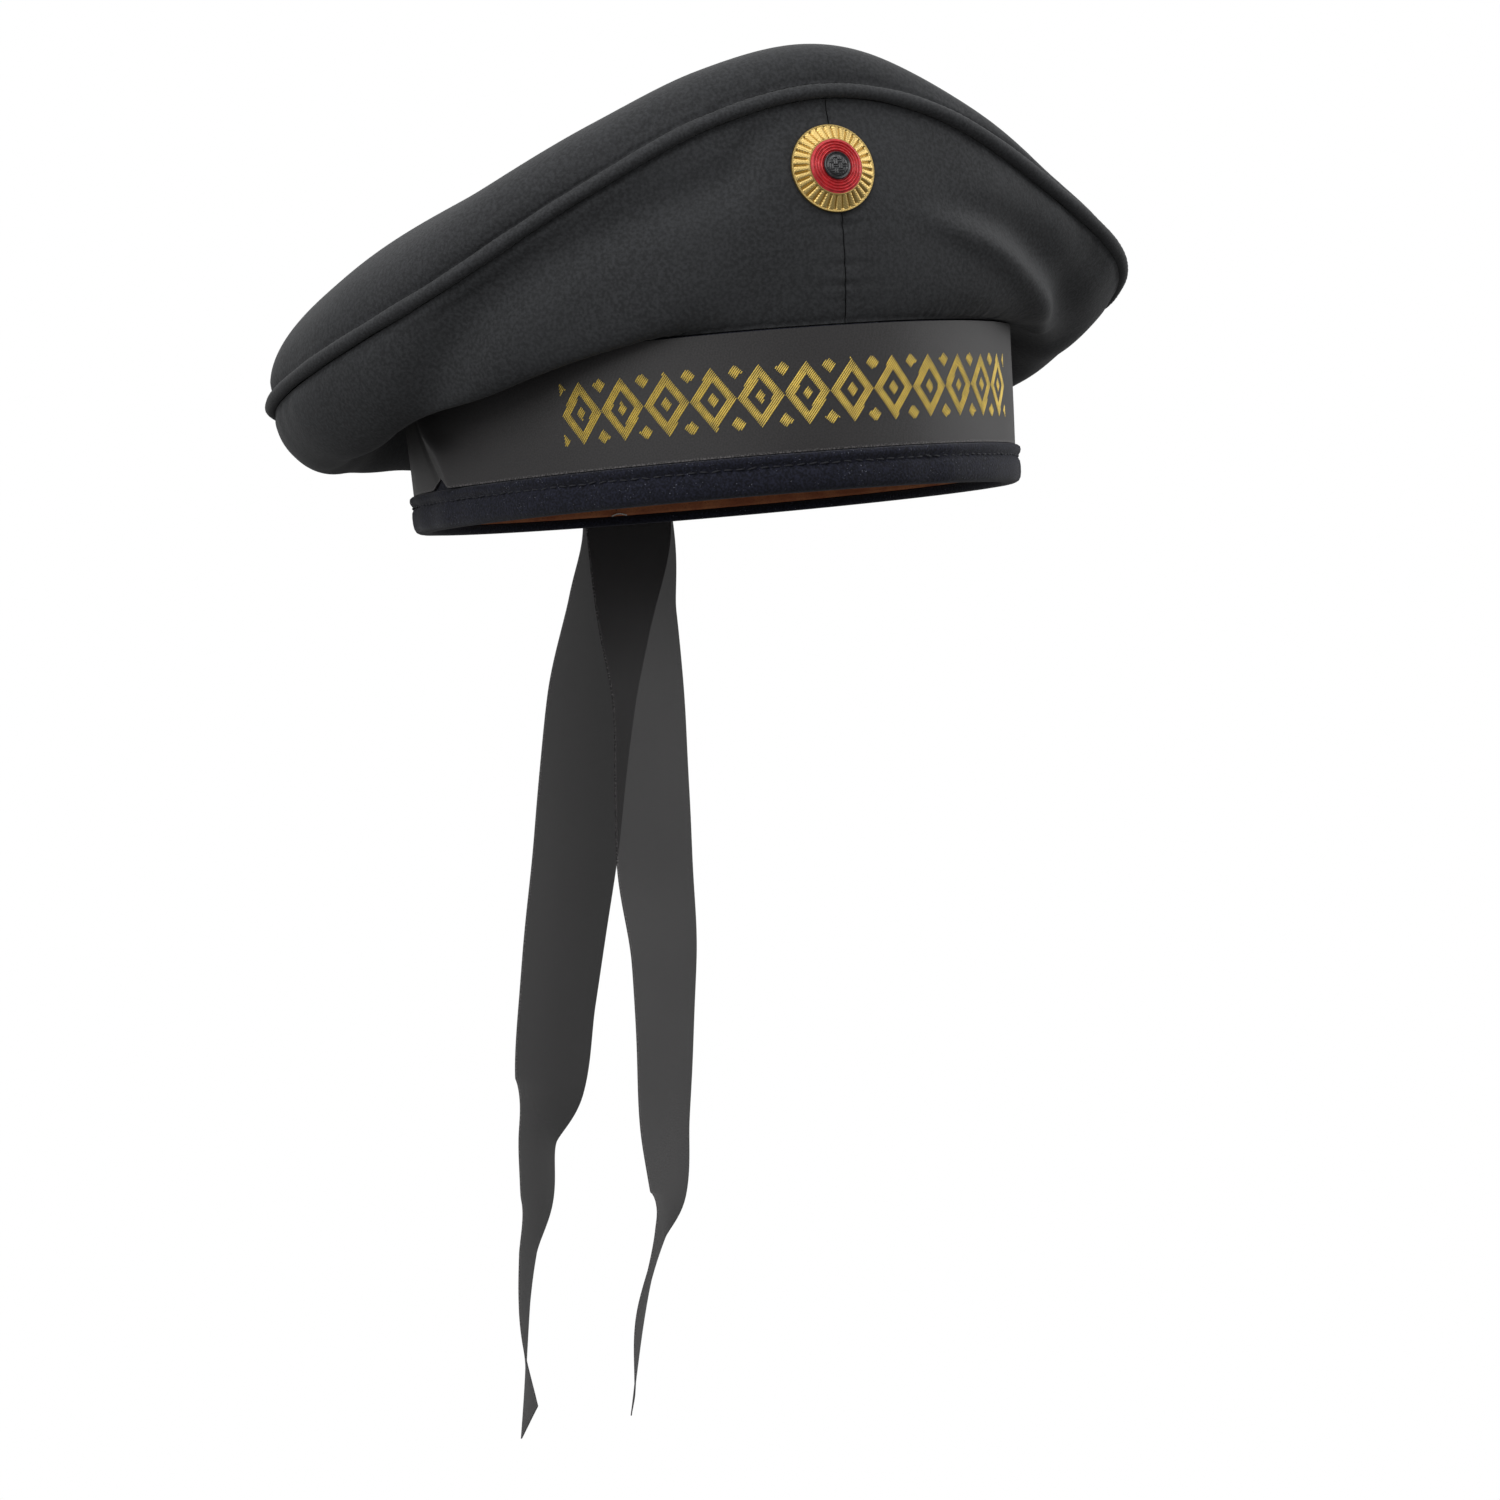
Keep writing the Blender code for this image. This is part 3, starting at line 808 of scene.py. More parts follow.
@dataclass
class Crown:
    """The soft crown: a round top panel, two side panels and the piping between them."""

    wall: float = 2.0 * MM
    piping_radius: float = 2.1 * MM
    side_seat: float = -110  # where the panels meet the piping, in degrees up from straight out
    top_seat: float = 110
    apex: tuple[float, float, float] = (0, 10 * MM, 101 * MM)  # middle of the top panel
    apex_share: float = 0.5
    apex_slope: float = 0.24
    foot_offset: float = 4.0 * MM
    columns: int = 360  # of one side panel
    rows: int = 88
    top_cells: int = 156
    crease_steps: int = 48
    seam_dip: float = 0.8 * MM
    seam_spread: float = 1.2 * MM
    pucker: float = 0.22 * MM
    pucker_pitch: float = 4.2 * MM
    pucker_reach: float = 5 * MM
    soft: float = 0.45 * MM  # random unevenness of the cloth

    def sections(self, angle: Array) -> list[Array]:
        """The columns of the section table at any angles, in metres, each with an axis of length 1 last."""
        table = np.array(SECTIONS)
        values = smooth(table[:, 0], table[:, 1:], angle, 360) * MM
        return [values[..., i, None] for i in range(values.shape[-1])]

    def piping_centre(self, angle: Array) -> Array:
        """The middle of the piping."""
        reach, height, *_ = self.sections(angle)
        return polar(angle) * reach + UP * height

    def seat(self, angle: Array, tilt: float) -> Array:
        """Points just clear of the piping, at a tilt from straight out."""
        turn = math.radians(tilt)
        radius = self.piping_radius + GAP
        return self.piping_centre(angle) + (polar(angle) * math.cos(turn) + UP * math.sin(turn)) * radius

    def side(self, angle: Array, level: Array) -> Array:
        """Points of the side panels' outer face, without folds."""
        _, _, lead_out, lead_up, hang_out, hang_up, edge_out, edge_up, _, _ = self.sections(angle)
        out = polar(angle)
        foot = OVAL.at(angle, self.foot_offset, OVAL.band_height + GAP)
        head = self.seat(angle, self.side_seat)
        lead = foot + out * lead_out + UP * lead_up
        hang = foot + out * hang_out + UP * hang_up
        edge = head + out * edge_out + UP * edge_up
        return bezier([foot, lead, hang, edge, head], level[..., None])

    def top(self, angle: Array, level: Array) -> Array:
        """Points of the top panel's outer face. Level 0 is the piping, 1 the apex."""
        *_, puff_out, puff_up = self.sections(angle)
        apex = np.array(self.apex)
        edge = self.seat(angle, self.top_seat)
        puff = edge + polar(angle) * puff_out + UP * puff_up
        beside = edge.copy()
        beside[..., 2] = apex[2] - self.apex_slope * (edge[..., 1] - apex[1])
        roof = apex + (beside - apex) * self.apex_share
        return bezier([edge, puff, roof, np.broadcast_to(apex, edge.shape)], level[..., None])

    def crease_relief(self, points: Array) -> Array:
        """How far the creases push each point out."""
        total = np.zeros(points.shape[:-1])
        flat = points.reshape(-1, 3)
        for knots in CREASES.values():
            steps = np.linspace(0, len(knots) - 1, self.crease_steps)
            table = smooth(range(len(knots)), np.array(knots), steps)
            path = self.side(table[:, 0], table[:, 1])
            start, run = path[:-1], np.diff(path, axis=0)
            share = ((flat[:, None] - start) * run).sum(-1) / (run**2).sum(-1)
            share = share.clip(0, 1)
            away = np.linalg.norm(flat[:, None] - start - run * share[..., None], axis=-1)
            nearest = away.argmin(1)
            pick = np.arange(len(flat)), nearest
            t = share[pick]
            spread = (table[nearest, 2] * (1 - t) + table[nearest + 1, 2] * t) * MM
            depth = (table[nearest, 3] * (1 - t) + table[nearest + 1, 3] * t) * MM
            total += (depth * np.exp(-((away[pick] / spread) ** 2))).reshape(total.shape)
        return total

    def seam_relief(self, run: Array, away: Array, seed: int) -> Array:
        """The dip and the small puckers beside a seam.

        Args:
            run: Metres along the seam.
            away: Metres from the seam.
            seed: Picks the puckers.

        Returns:
            How far each point moves out.
        """
        line = np.stack([run, np.zeros_like(run), np.zeros_like(run)], -1)
        puckers = unevenness(line, self.pucker_pitch, seed)
        return self.pucker * puckers * np.exp(-away / self.pucker_reach) - self.seam_dip * np.exp(
            -((away / self.seam_spread) ** 2)
        )

    def side_patch(self, side: int) -> Patch:
        """One half of the crown's side, with folds, seams and unevenness.

        Args:
            side: 1 for the wearer's left, -1 for the right.

        Returns:
            The patch of its outer face.
        """
        seam = math.degrees(0.5 * GAP / OVAL.half_length)
        angles = np.linspace(seam, 180 - seam, self.columns + 1) * side
        angle, level = np.meshgrid(np.sort(angles), np.linspace(0, 1, self.rows + 1))
        points = self.side(angle, level)
        steps = np.linalg.norm(np.diff(points, axis=0), axis=-1)
        across = np.concatenate([np.zeros((1, len(angles))), np.cumsum(steps, axis=0)])
        reach = np.linalg.norm(points[..., :2], axis=-1)
        along = np.radians(angle) * reach.mean()
        patch = Patch(points, np.stack([along, across], -1))
        from_band, from_piping = across, across[-1] - across
        from_front = np.radians(np.abs(angle)) * reach
        from_back = np.radians(180 - np.abs(angle)) * reach
        relief = self.crease_relief(points) + self.soft * unevenness(points, 46 * MM, 5)
        fade = np.minimum(1, np.minimum(from_band / (9 * MM), from_piping / (5 * MM)))
        height = relief * fade
        height += self.seam_relief(along, from_band, 1) * np.minimum(1, from_band / (1.5 * MM))
        height += self.seam_relief(along, from_piping, 2) * np.minimum(1, from_piping / (1.5 * MM))
        for away, seed in ((from_front, 3), (from_back, 4)):
            height += self.seam_relief(across, away, seed) * fade
        return patch.moved(height)

    def top_patch(self) -> Patch:
        """The top panel: a square grid pressed into a round one, so that its middle has no spokes."""
        side = np.linspace(-1, 1, self.top_cells + 1)
        u, v = np.meshgrid(side, side)
        x, y = u * np.sqrt(1 - v**2 / 2), v * np.sqrt(1 - u**2 / 2)
        share = np.hypot(x, y).clip(0, 1)
        angle = np.degrees(np.arctan2(x, -y))
        points = self.top(angle, 1 - share)
        patch = Patch(points, np.stack([x, y], -1) * 130 * MM)
        from_piping = (1 - share) * 115 * MM
        run = np.radians(angle) * 120 * MM
        height = 1.2 * self.soft * unevenness(points, 55 * MM, 8) * np.minimum(1, from_piping / (6 * MM))
        height += self.seam_relief(run, from_piping, 7) * np.minimum(1, from_piping / (1.5 * MM))
        return patch.moved(height)

    def piping_mesh(self) -> bpy.types.Mesh:
        """The covered cord, with the small slanted pulls of its cover."""
        angle = np.linspace(-180, 180, 2 * self.columns + 1)
        centre = self.piping_centre(angle)
        along = unit(np.gradient(np.concatenate([centre[-2:-1], centre, centre[1:2]]), axis=0))[1:-1]
        out = polar(angle)
        out = unit(out - along * (out * along).sum(-1, keepdims=True))
        up = np.cross(out, along)
        turn = np.linspace(0, 2 * math.pi, 17)
        run = np.concatenate([[0], np.cumsum(np.linalg.norm(np.diff(centre, axis=0), axis=1))])
        pulls = np.sin(run[:, None] * (2 * math.pi / (3.1 * MM)) + 2.2 * turn[None, :])
        swell = unevenness(centre, 19 * MM, 12)[:, None]
        radius = self.piping_radius + 0.06 * MM * pulls + 0.08 * MM * swell
        ring = out[:, None] * np.cos(turn)[:, None] + up[:, None] * np.sin(turn)[:, None]
        points = (centre[:, None] + ring * radius[..., None]).transpose(1, 0, 2)
        points[-1], points[:, -1] = points[0], points[:, 0]
        measure = np.stack(np.broadcast_arrays(run, turn[:, None] * self.piping_radius), -1)
        return tube_mesh("covered_cord", points, measure)

    def build(self) -> None:
        """Makes the four pieces."""
        cloth = Wool("crown wool").material()
        top = place(self.top_patch().mesh("top_panel", self.wall), cloth, Slot.CROWN, ["crown_top"])
        for side, name, node in ((1, "left_panel", "crown_side_left"), (-1, "right_panel", "crown_side_right")):
            piece = place(self.side_patch(side).mesh(name, self.wall), cloth, Slot.CROWN, [node])
        cover = Wool("piping wool", shade=(0.026, 0.027, 0.029), grain=0.8 * MM, relief=0.12 * MM)
        place(self.piping_mesh(), cover.material(), Slot.PIPING, ["piping"])


def tube_mesh(name: str, points: Array, measure: Array) -> bpy.types.Mesh:
    """A ring-shaped tube, closed both ways.

    Args:
        name: The mesh's name.
        points: Its points, round the section and then round the ring, with the first of each again last.
        measure: The cloth's measure, in the same order.

    Returns:
        The mesh.
    """
    rows, columns = points.shape[0] - 1, points.shape[1] - 1
    i, j = (a.ravel() for a in np.meshgrid(np.arange(rows), np.arange(columns), indexing="ij"))
    corners = [(i, j), (i, j + 1), (i + 1, j + 1), (i + 1, j)]
    index = np.stack([(a % rows) * columns + b % columns for a, b in corners], 1)
    mesh = bpy.data.meshes.new(name)
    mesh.from_pydata(points[:-1, :-1].reshape(-1, 3).tolist(), [], index.tolist())
    layer = mesh.uv_layers.new(name=CLOTH_MAP)
    values = np.stack([measure[a, b] for a, b in corners], 1)
    layer.uv.foreach_set("vector", np.ascontiguousarray(values, np.float32).ravel())
    editable = bmesh.new()
    editable.from_mesh(mesh)
    bmesh.ops.recalc_face_normals(editable, faces=editable.faces)
    editable.to_mesh(mesh)
    editable.free()
    smooth_shaded(mesh)
    return mesh


@dataclass
class Headband:
    """The stiff band: melton with a stitched welt below the ribbon, turned in under the sweatband."""

    inside: float = 1.5 * MM
    outside: float = 4.0 * MM
    steps: int = 480
    stitch_height: float = 7.9 * MM
    stitch_pitch: float = 3.4 * MM
    stitch_length: float = 2.5 * MM
    groove: float = 0.5 * MM

    def section(self) -> Array:
        """The band's outline, as offsets and heights in millimetres, once round."""
        corners = [
            (1.5, 47.1),
            (1.5, 30.0),
            (1.5, 10.0),
            (1.5, 3.4),
            (1.3, 2.8),
            (0.7, 2.7),
            (0.25, 2.2),
            (0.15, 1.2),
            (0.5, 0.35),
            (1.4, 0.0),
            (3.0, 0.0),
            (4.6, 0.1),
            (5.5, 0.6),
            (6.0, 1.6),
            (6.2, 3.0),
            (6.2, 5.0),
            (6.05, 6.4),
            (5.6, 7.3),
            (5.5, 7.7),
            (5.65, 8.2),
            (6.2, 9.0),
            (6.4, 9.8),
            (6.2, 10.7),
            (5.5, 11.25),
            (4.1, 11.15),
            (4.0, 12.0),
            (4.0, 30.0),
            (4.0, 46.6),
            (3.6, 47.1),
        ]
        return np.array(corners) * MM

    def band_mesh(self) -> bpy.types.Mesh:
        """The band, with a little unevenness along its welt."""
        angle = np.linspace(-180, 180, self.steps + 1)
        section = self.section()
        section = np.concatenate([section, section[:1]])
        offset = np.broadcast_to(section[:, 0, None], (len(section), len(angle))).copy()
        height = np.broadcast_to(section[:, 1, None], offset.shape)
        arc = OVAL.arc_of(angle, self.outside)
        place_here = OVAL.at(angle, self.outside, 0.0)
        on_welt = ((offset > 4.3 * MM) & (height < 11.3 * MM)).astype(float)
        at_stitch = np.exp(-(((height - self.stitch_height) / (1.2 * MM)) ** 2))
        pulled = 0.5 - 0.5 * np.cos(arc * (2 * math.pi / self.stitch_pitch))
        wobble = unevenness(place_here, 17 * MM, 21) * 0.22 * MM
        offset += on_welt * (wobble - at_stitch * pulled * 0.35 * MM)
        points = OVAL.at(angle, offset, height)
        points[:, -1] = points[:, 0]
        girth = np.concatenate([[0], np.cumsum(np.linalg.norm(np.diff(section, axis=0), axis=1))])
        measure = np.stack(np.broadcast_arrays(arc, girth[:, None]), -1)
        return tube_mesh("welted_band", points, measure)

    def stitches(self) -> bpy.types.Mesh:
        """The row of stitches along the welt."""
        _, arcs = OVAL.arcs(self.outside)
        count = int((arcs[-1] - arcs[0]) / self.stitch_pitch)
        parts = []
        rng = np.random.default_rng(31)
        for k in range(count):
            middle = arcs[0] + (k + 0.5) * (arcs[-1] - arcs[0]) / count
            run = np.linspace(-0.5, 0.5, 7)
            angle = OVAL.angle_of(middle + run * self.stitch_length, self.outside)
            sink = 0.45 * MM * (2 * run) ** 4
            tilt = rng.normal(0, 0.16 * MM)
            height = self.stitch_height + tilt * run * 2 + rng.normal(0, 0.06 * MM)
            path = OVAL.at(angle, 5.7 * MM - sink, height)
            thick = np.full(len(run), 0.26 * MM) * (1 - 0.5 * np.abs(2 * run) ** 3)
            parts.append(strand(path, OVAL.out(angle), thick, thick * 0.9))
        return joined("welt_stitches", parts)

    def build(self) -> None:
        """Makes the band and its stitches."""
        place(self.band_mesh(), Melton("navy melton").material(), Slot.BAND, ["headband"])
        place(self.stitches(), PlainThread("navy thread", (0.012, 0.013, 0.020)).material(), Slot.BAND)


@dataclass
class Sweatband:
    """The leather strip inside the band, with two rows of small holes and its joint at the back."""

    wall: float = 1.2 * MM
    bottom: float = 3.0 * MM
    top: float = 40 * MM
    hole_radius: float = 0.42 * MM
    hole_pitch: float = 3.5 * MM
    hole_rows: tuple[float, float] = (6.3 * MM, 7.9 * MM)
    joint_angle: float = 175.0

    def leather_mesh(self) -> bpy.types.Mesh:
        """The strip, from a band of cells that each hold one hole, with plain rows below and above."""
        _, arcs = OVAL.arcs(0.0)
        length = arcs[-1] - arcs[0]
        count = int(length / self.hole_pitch)
        pitch = length / count
        editable = bmesh.new()
        measure = editable.loops.layers.uv.new(CLOTH_MAP)
        corners: dict[tuple[float, float], bmesh.types.BMVert] = {}

        def corner(along: float, height: float) -> bmesh.types.BMVert:
            """The corner at a place on the flat strip."""
            key = (round(along % length, 7), round(height, 7))
            if key not in corners:
                angle = OVAL.angle_of(np.array(along % length + arcs[0]), 0.0)
                corners[key] = editable.verts.new(OVAL.at(angle, 0.0, height))
            return corners[key]

        def face(places: Sequence[tuple[float, float]]) -> None:
            """A face through places on the flat strip, seen from inside the cap."""
            made = editable.faces.new([corner(*spot) for spot in places])
            for loop, spot in zip(made.loops, places):
                loop[measure].uv = spot

        half = (self.hole_rows[1] - self.hole_rows[0]) / 2
        edges = [self.hole_rows[0] - half, sum(self.hole_rows) / 2, self.hole_rows[1] + half]
        rows = [
            (self.bottom, self.bottom + 0.8 * MM, None),
            (self.bottom + 0.8 * MM, edges[0], None),
            (edges[0], edges[1], 0.0),
            (edges[1], edges[2], 0.5),
            (edges[2], 16 * MM, None),
            (16 * MM, 28 * MM, None),
            (28 * MM, self.top, None),
        ]
        for k in range(2 * count):
            left, right = k * pitch / 2, (k + 1) * pitch / 2
            for low, high, shift in rows:
                if shift is None:
                    face([(right, low), (left, low), (left, high), (right, high)])
                elif k % 2 == int(2 * shift):
                    self.holed_cell(face, left, left + pitch, low, high)
        mesh = bpy.data.meshes.new("leather_strip")
        editable.normal_update()
        inner = {vert: vert.normal.copy() for vert in editable.verts}
        assert inner
        editable.to_mesh(mesh)
        editable.free()
        smooth_shaded(mesh)
        return mesh

    def holed_cell(self, face, left: float, right: float, low: float, high: float) -> None:
        """One cell of the strip, with a hole in its middle.

        Args:
            face: Makes a face through places on the flat strip.
            left: The cell's sides, in metres along the strip.
            right: The same.
            low: The cell's lower and upper edges.
            high: The same.
        """
        middle = (left + right) / 2
        centre = (low + high) / 2
        outline = [
            (right, centre), (right, high), (middle, high), (left, high),
            (left, centre), (left, low), (middle, low), (right, low),
        ]
        turns = [k * math.pi / 4 for k in range(8)]
        ring = [
            (middle + self.hole_radius * math.cos(t), centre + self.hole_radius * math.sin(t)) for t in turns
        ]
        for k in range(8):
            n = (k + 1) % 8
            face([outline[n], outline[k], ring[k], ring[n]])

    def joint_stitches(self) -> bpy.types.Mesh:
        """The upright row of stitches at the joint."""
        parts = []
        for height in np.arange(4.6 * MM, 38 * MM, 2.6 * MM):
            z = np.linspace(height, height + 1.9 * MM, 6)
            angle = np.full(6, self.joint_angle)
            path = OVAL.at(angle, -0.15 * MM, z)
            thick = 0.16 * MM * np.array([0.5, 1, 1, 1, 1, 0.5])
            parts.append(strand(path, -OVAL.out(angle), thick, thick))
        return joined("joint_stitches", parts)

    def thread_end(self) -> bpy.types.Mesh:
        """The loose end of pale thread under the joint."""
        run = np.linspace(0, 1, 9)
        angle = self.joint_angle - 2.2 + 3.4 * run
        path = OVAL.at(angle, -0.35 * MM + 0.2 * MM * np.sin(run * 5), 3.0 * MM + 0.7 * MM * np.sin(run * 3.1))
        thick = np.full(9, 0.2 * MM)
        return joined("thread_end", [strand(path, -OVAL.out(angle), thick, thick)])

    def build(self) -> None:
        """Makes the strip and its stitches."""
        strip = place(self.leather_mesh(), Leather("tan leather").material(), Slot.LEATHER, ["sweatband"])
        solidify = strip.modifiers.new("wall", "SOLIDIFY")
        solidify.thickness = self.wall
        solidify.offset = -1
        place(self.joint_stitches(), PlainThread("brown thread", (0.10, 0.03, 0.012)).material(), Slot.LEATHER)
        place(self.thread_end(), PlainThread("pale thread", (0.75, 0.74, 0.70)).material(), Slot.LEATHER)


@dataclass
class Ribbon:
    """The ribbon round the band, with a tuck on the wearer's right and a border woven in gold."""

    inside: float = 4.3 * MM
    wall: float = 0.6 * MM
    bottom: float = 11.5 * MM
    width: float = 35.3 * MM
    steps: int = 960
    rows: int = 28
    crest: float = 2.0 * MM  # how far the tuck's front fold stands out
    hollow: float = 0.35 * MM
    lift: float = 3.2 * MM  # how far the lower edge is pulled up at the tuck

    def fold_line(self, height: Array) -> Array:
        """The angle of the tuck's dark line at each height."""
        return np.interp(height / MM, [10, 14, 30, 48], [-89.5, -91, -98.5, -104])

    def crest_line(self, height: Array) -> Array:
        """The angle of the tuck's front fold at each height."""
        return np.interp(height / MM, [10, 16, 22, 28, 48], [-85, -86.5, -88.8, -93.5, -101])

    def offset(self, angle: Array, height: Array) -> Array:
        """How far out the ribbon's face lies."""
        fold, crest = self.fold_line(height), self.crest_line(height)
        base = self.inside + self.wall
        before = np.exp(-(((angle - crest) / 6.0).clip(0, None) ** 2))
        between = ((angle - fold) / np.maximum(crest - fold, 0.5)).clip(0, 1)
        raised = np.where(angle >= crest, before, between**1.5)
        dip = np.exp(-(((angle - fold) / 0.9) ** 2))
        place_here = OVAL.at(angle, base, height)
        soft = 0.10 * MM * unevenness(place_here, 30 * MM, 41)
        return base + self.crest * raised - self.hollow * dip + soft

    def edge(self, angle: Array) -> Array:
        """The height of the ribbon's lower edge."""
        fold = self.fold_line(np.full_like(angle, self.bottom))
        return self.bottom + self.lift * np.exp(-(((angle - fold) / 2.6) ** 2))

    def patch(self) -> Patch:
        """The ribbon's outer face."""
        angle, level = np.meshgrid(np.linspace(-180, 180, self.steps + 1), np.linspace(0, 1, self.rows + 1))
        low = self.edge(angle)
        height = low + (self.bottom + self.width - low) * level
        points = OVAL.at(angle, self.offset(angle, height), height)
        points[:, -1] = points[:, 0]
        along = OVAL.arc_of(angle, self.inside)
        return Patch(points, np.stack([along, level * self.width], -1), loop=True)

    def build(self) -> None:
        """Makes the ribbon and its border."""
        silk = Silk("black ribbon").material()
        piece = place(self.patch().mesh("band_ribbon", self.wall), silk, Slot.RIBBON, ["ribbon_band"])
        border = place(Border(self).mesh(), GoldThread("gold thread").material(), Slot.RIBBON)
        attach(border, "root")


@dataclass
class Border:
    """A running pattern of lozenges, woven into the ribbon with slanted gold threads."""

    ribbon: Ribbon
    start: float = -55.0  # degrees
    end: float = 47.5
    middle: float = 28.2 * MM  # height above the rim
    tall: float = 18.6 * MM
    motifs: int = 12
    stroke: float = 3.3 * MM
    thread_pitch: float = 0.56 * MM
    thread_slope: float = math.radians(52)
    thread_width: float = 0.21 * MM
    thread_height: float = 0.12 * MM

    def inside(self, along: Array, up: Array, pitch: float) -> Array:
        """Whether each place belongs to the pattern.

        Args:
            along: Metres from the pattern's start.
            up: Metres above its middle.
            pitch: The length of one motif.

        Returns:
            True where the threads are gold.
        """
        half = self.tall / 2
        u = (along / pitch) % 1 - 0.5
        lozenge = np.abs(u) * 2 + np.abs(up) / half
        edge = 1 - self.stroke / half * 1.25
        ring = (lozenge < 1.0) & (lozenge > edge)
        core = lozenge < 0.24
        w = 0.5 - np.abs(u)
        notch = (w * pitch < 2.2 * MM) & (np.abs(np.abs(up) - half * 0.80) < (2.2 * MM - w * pitch))
        length = pitch * self.motifs
        return (ring | core | notch) & (along > 0) & (along < length) & (np.abs(up) < half)

    def mesh(self) -> bpy.types.Mesh:
        """The threads of the pattern, each laid on the ribbon."""
        ribbon = self.ribbon
        first, last = (OVAL.arc_of(np.array(a), ribbon.inside) for a in (self.start, self.end))
        length = float(last - first)
        pitch = length / self.motifs
        direction = np.array([math.cos(self.thread_slope), math.sin(self.thread_slope)])
        half = self.tall / 2
        step = self.thread_pitch / math.sin(self.thread_slope)
        lean = self.tall / math.tan(self.thread_slope)
        fine = np.arange(0, self.tall / math.sin(self.thread_slope), 0.06 * MM)
        parts = []
        for offset in np.arange(-lean, length, step):
            along = offset + fine * direction[0]
            up = -half + fine * direction[1]
            gold = np.concatenate([[False], self.inside(along, up, pitch), [False]])
            edges = np.flatnonzero(gold[1:] != gold[:-1])
            for low, high in zip(edges[::2], edges[1::2]):
                if high - low > 6:
                    parts.append(self.thread(first, along[low:high], up[low:high]))
        return joined("woven_border", parts)

    def thread(self, first: float, along: Array, up: Array) -> tuple[Array, Array, Array]:
        """One stretch of thread between two edges of the pattern."""
        count = max(3, int(len(along) * 0.06 / 1.1) + 2)
        pick = np.linspace(0, len(along) - 1, count).round().astype(int)
        angle = OVAL.angle_of(first + along[pick], self.ribbon.inside)
        height = self.middle + up[pick]
        path = OVAL.at(angle, self.ribbon.offset(angle, height) + 0.06 * MM, height)
        t = np.linspace(-1, 1, count)
        taper = np.sqrt(1 - 0.75 * t**4)
        return strand(path, OVAL.out(angle), self.thread_width * taper, self.thread_height * taper, 4)


class Station(NamedTuple):
    """A place on the middle line of a streamer. Sizes are in millimetres."""

    height: float  # above the rim
    side: float  # towards the wearer's left
    back: float  # behind the ribbon that goes round the band
    turn: float  # of its face, in degrees about the upright
    width: float  # less than the ribbon's own where it is gathered


@dataclass
class Streamer:
    """One end of the ribbon, which hangs from the back of the band."""

    name: str
    node: str
    stations: list[Station]
    wall: float = 0.4 * MM
    lie_offset: float = 6.9 * MM
    lies_to: float = -30 * MM
    end_slant: float = 12 * MM
    slant_from: float = 0.12
    rows: int = 300
    columns: int = 28

    def patch(self) -> Patch:
        """The streamer's rear face."""
        table = np.array(self.stations)[::-1]
        share, across = np.meshgrid(
            np.linspace(0, 1, self.rows + 1), np.linspace(0.5, -0.5, self.columns + 1), indexing="ij"
        )
        low, high = table[0, 0] * MM, table[-1, 0] * MM
        height = low + (high - low) * share
        values = smooth(table[:, 0], table[:, 1:], height / MM)
        above = smooth(table[:, 0], table[:, 1:], height / MM + 1)
        side, back, turn, width = (values[..., k] for k in range(4))
        wide = across * width * MM
        slant = -self.end_slant * (1 - share / self.slant_from).clip(0, None) * across
        rear = OVAL.half_length + self.lie_offset
        centre = np.stack([side * MM, rear + back * MM, height + slant], -1)
        rise = np.stack([(above[..., 0] - side) * MM, (above[..., 1] - back) * MM, np.full_like(side, MM)], -1)
        turn = np.radians(turn)
        face = np.stack([np.cos(turn), np.sin(turn), np.zeros_like(turn)], -1)
        tilt = (face * rise).sum(-1, keepdims=True) / (rise**2).sum(-1, keepdims=True)
        hung = centre + unit(face - rise * tilt) * wide[..., None]
        lateral = side * MM + wide
        round_by = 180 - np.degrees(np.arcsin(lateral / (OVAL.half_length * OVAL.ratio + self.lie_offset)))
        lying = OVAL.at(round_by, self.lie_offset + back * MM, height)
        lies = (1 - height / self.lies_to).clip(0, 1)[..., None]
        points = hung + (lying - hung) * lies * lies * (3 - 2 * lies)
        measure = np.stack([height - low, (across + 0.5) * 35.3 * MM], -1)
        patch = Patch(points, measure)
        return patch.moved(0.25 * MM * unevenness(points, 38 * MM, 51) * (1 - lies[..., 0]))

    def build(self, silk: bpy.types.Material) -> None:
        """Makes the piece."""
        piece = place(self.patch().mesh(self.name, self.wall), silk, Slot.RIBBON, [self.node])


LEFT_STREAMER = [
    Station(36, 12.5, 0, 0, 27),
    Station(0, 13, 0, 0, 27),
    Station(-23, 14.5, 1, 7, 29),
    Station(-55, 17, 3, 24, 33),
    Station(-106, 15, 4, 24, 35),
    Station(-138, 15.5, 4, 32, 35),
    Station(-189, 11, 4, 41, 35),
    Station(-212, 10, 4, 48, 35),
    Station(-224, 6, 3, 60, 35),
    Station(-251, -4, 2, 64, 35),
    Station(-275, -9, 1, 70, 35),
]
RIGHT_STREAMER = [
    Station(34, 12.5, 1.3, 0, 27),
    Station(0, 12.5, 1.3, 0, 27),
    Station(-23, 8, 4, 7, 31),
    Station(-54, -1, 6, 13, 34),
    Station(-104, -11, 7, 19, 35),
    Station(-148, -21, 7, 25, 35),
    Station(-174, -26, 7, 30, 35),
    Station(-190, -32, 6, 48, 35),
    Station(-210, -34, 6, 51, 35),
    Station(-226, -39, 5, 59, 35),
    Station(-253, -43, 4, 66, 35),
    Station(-279, -44, 3, 78, 35),
]


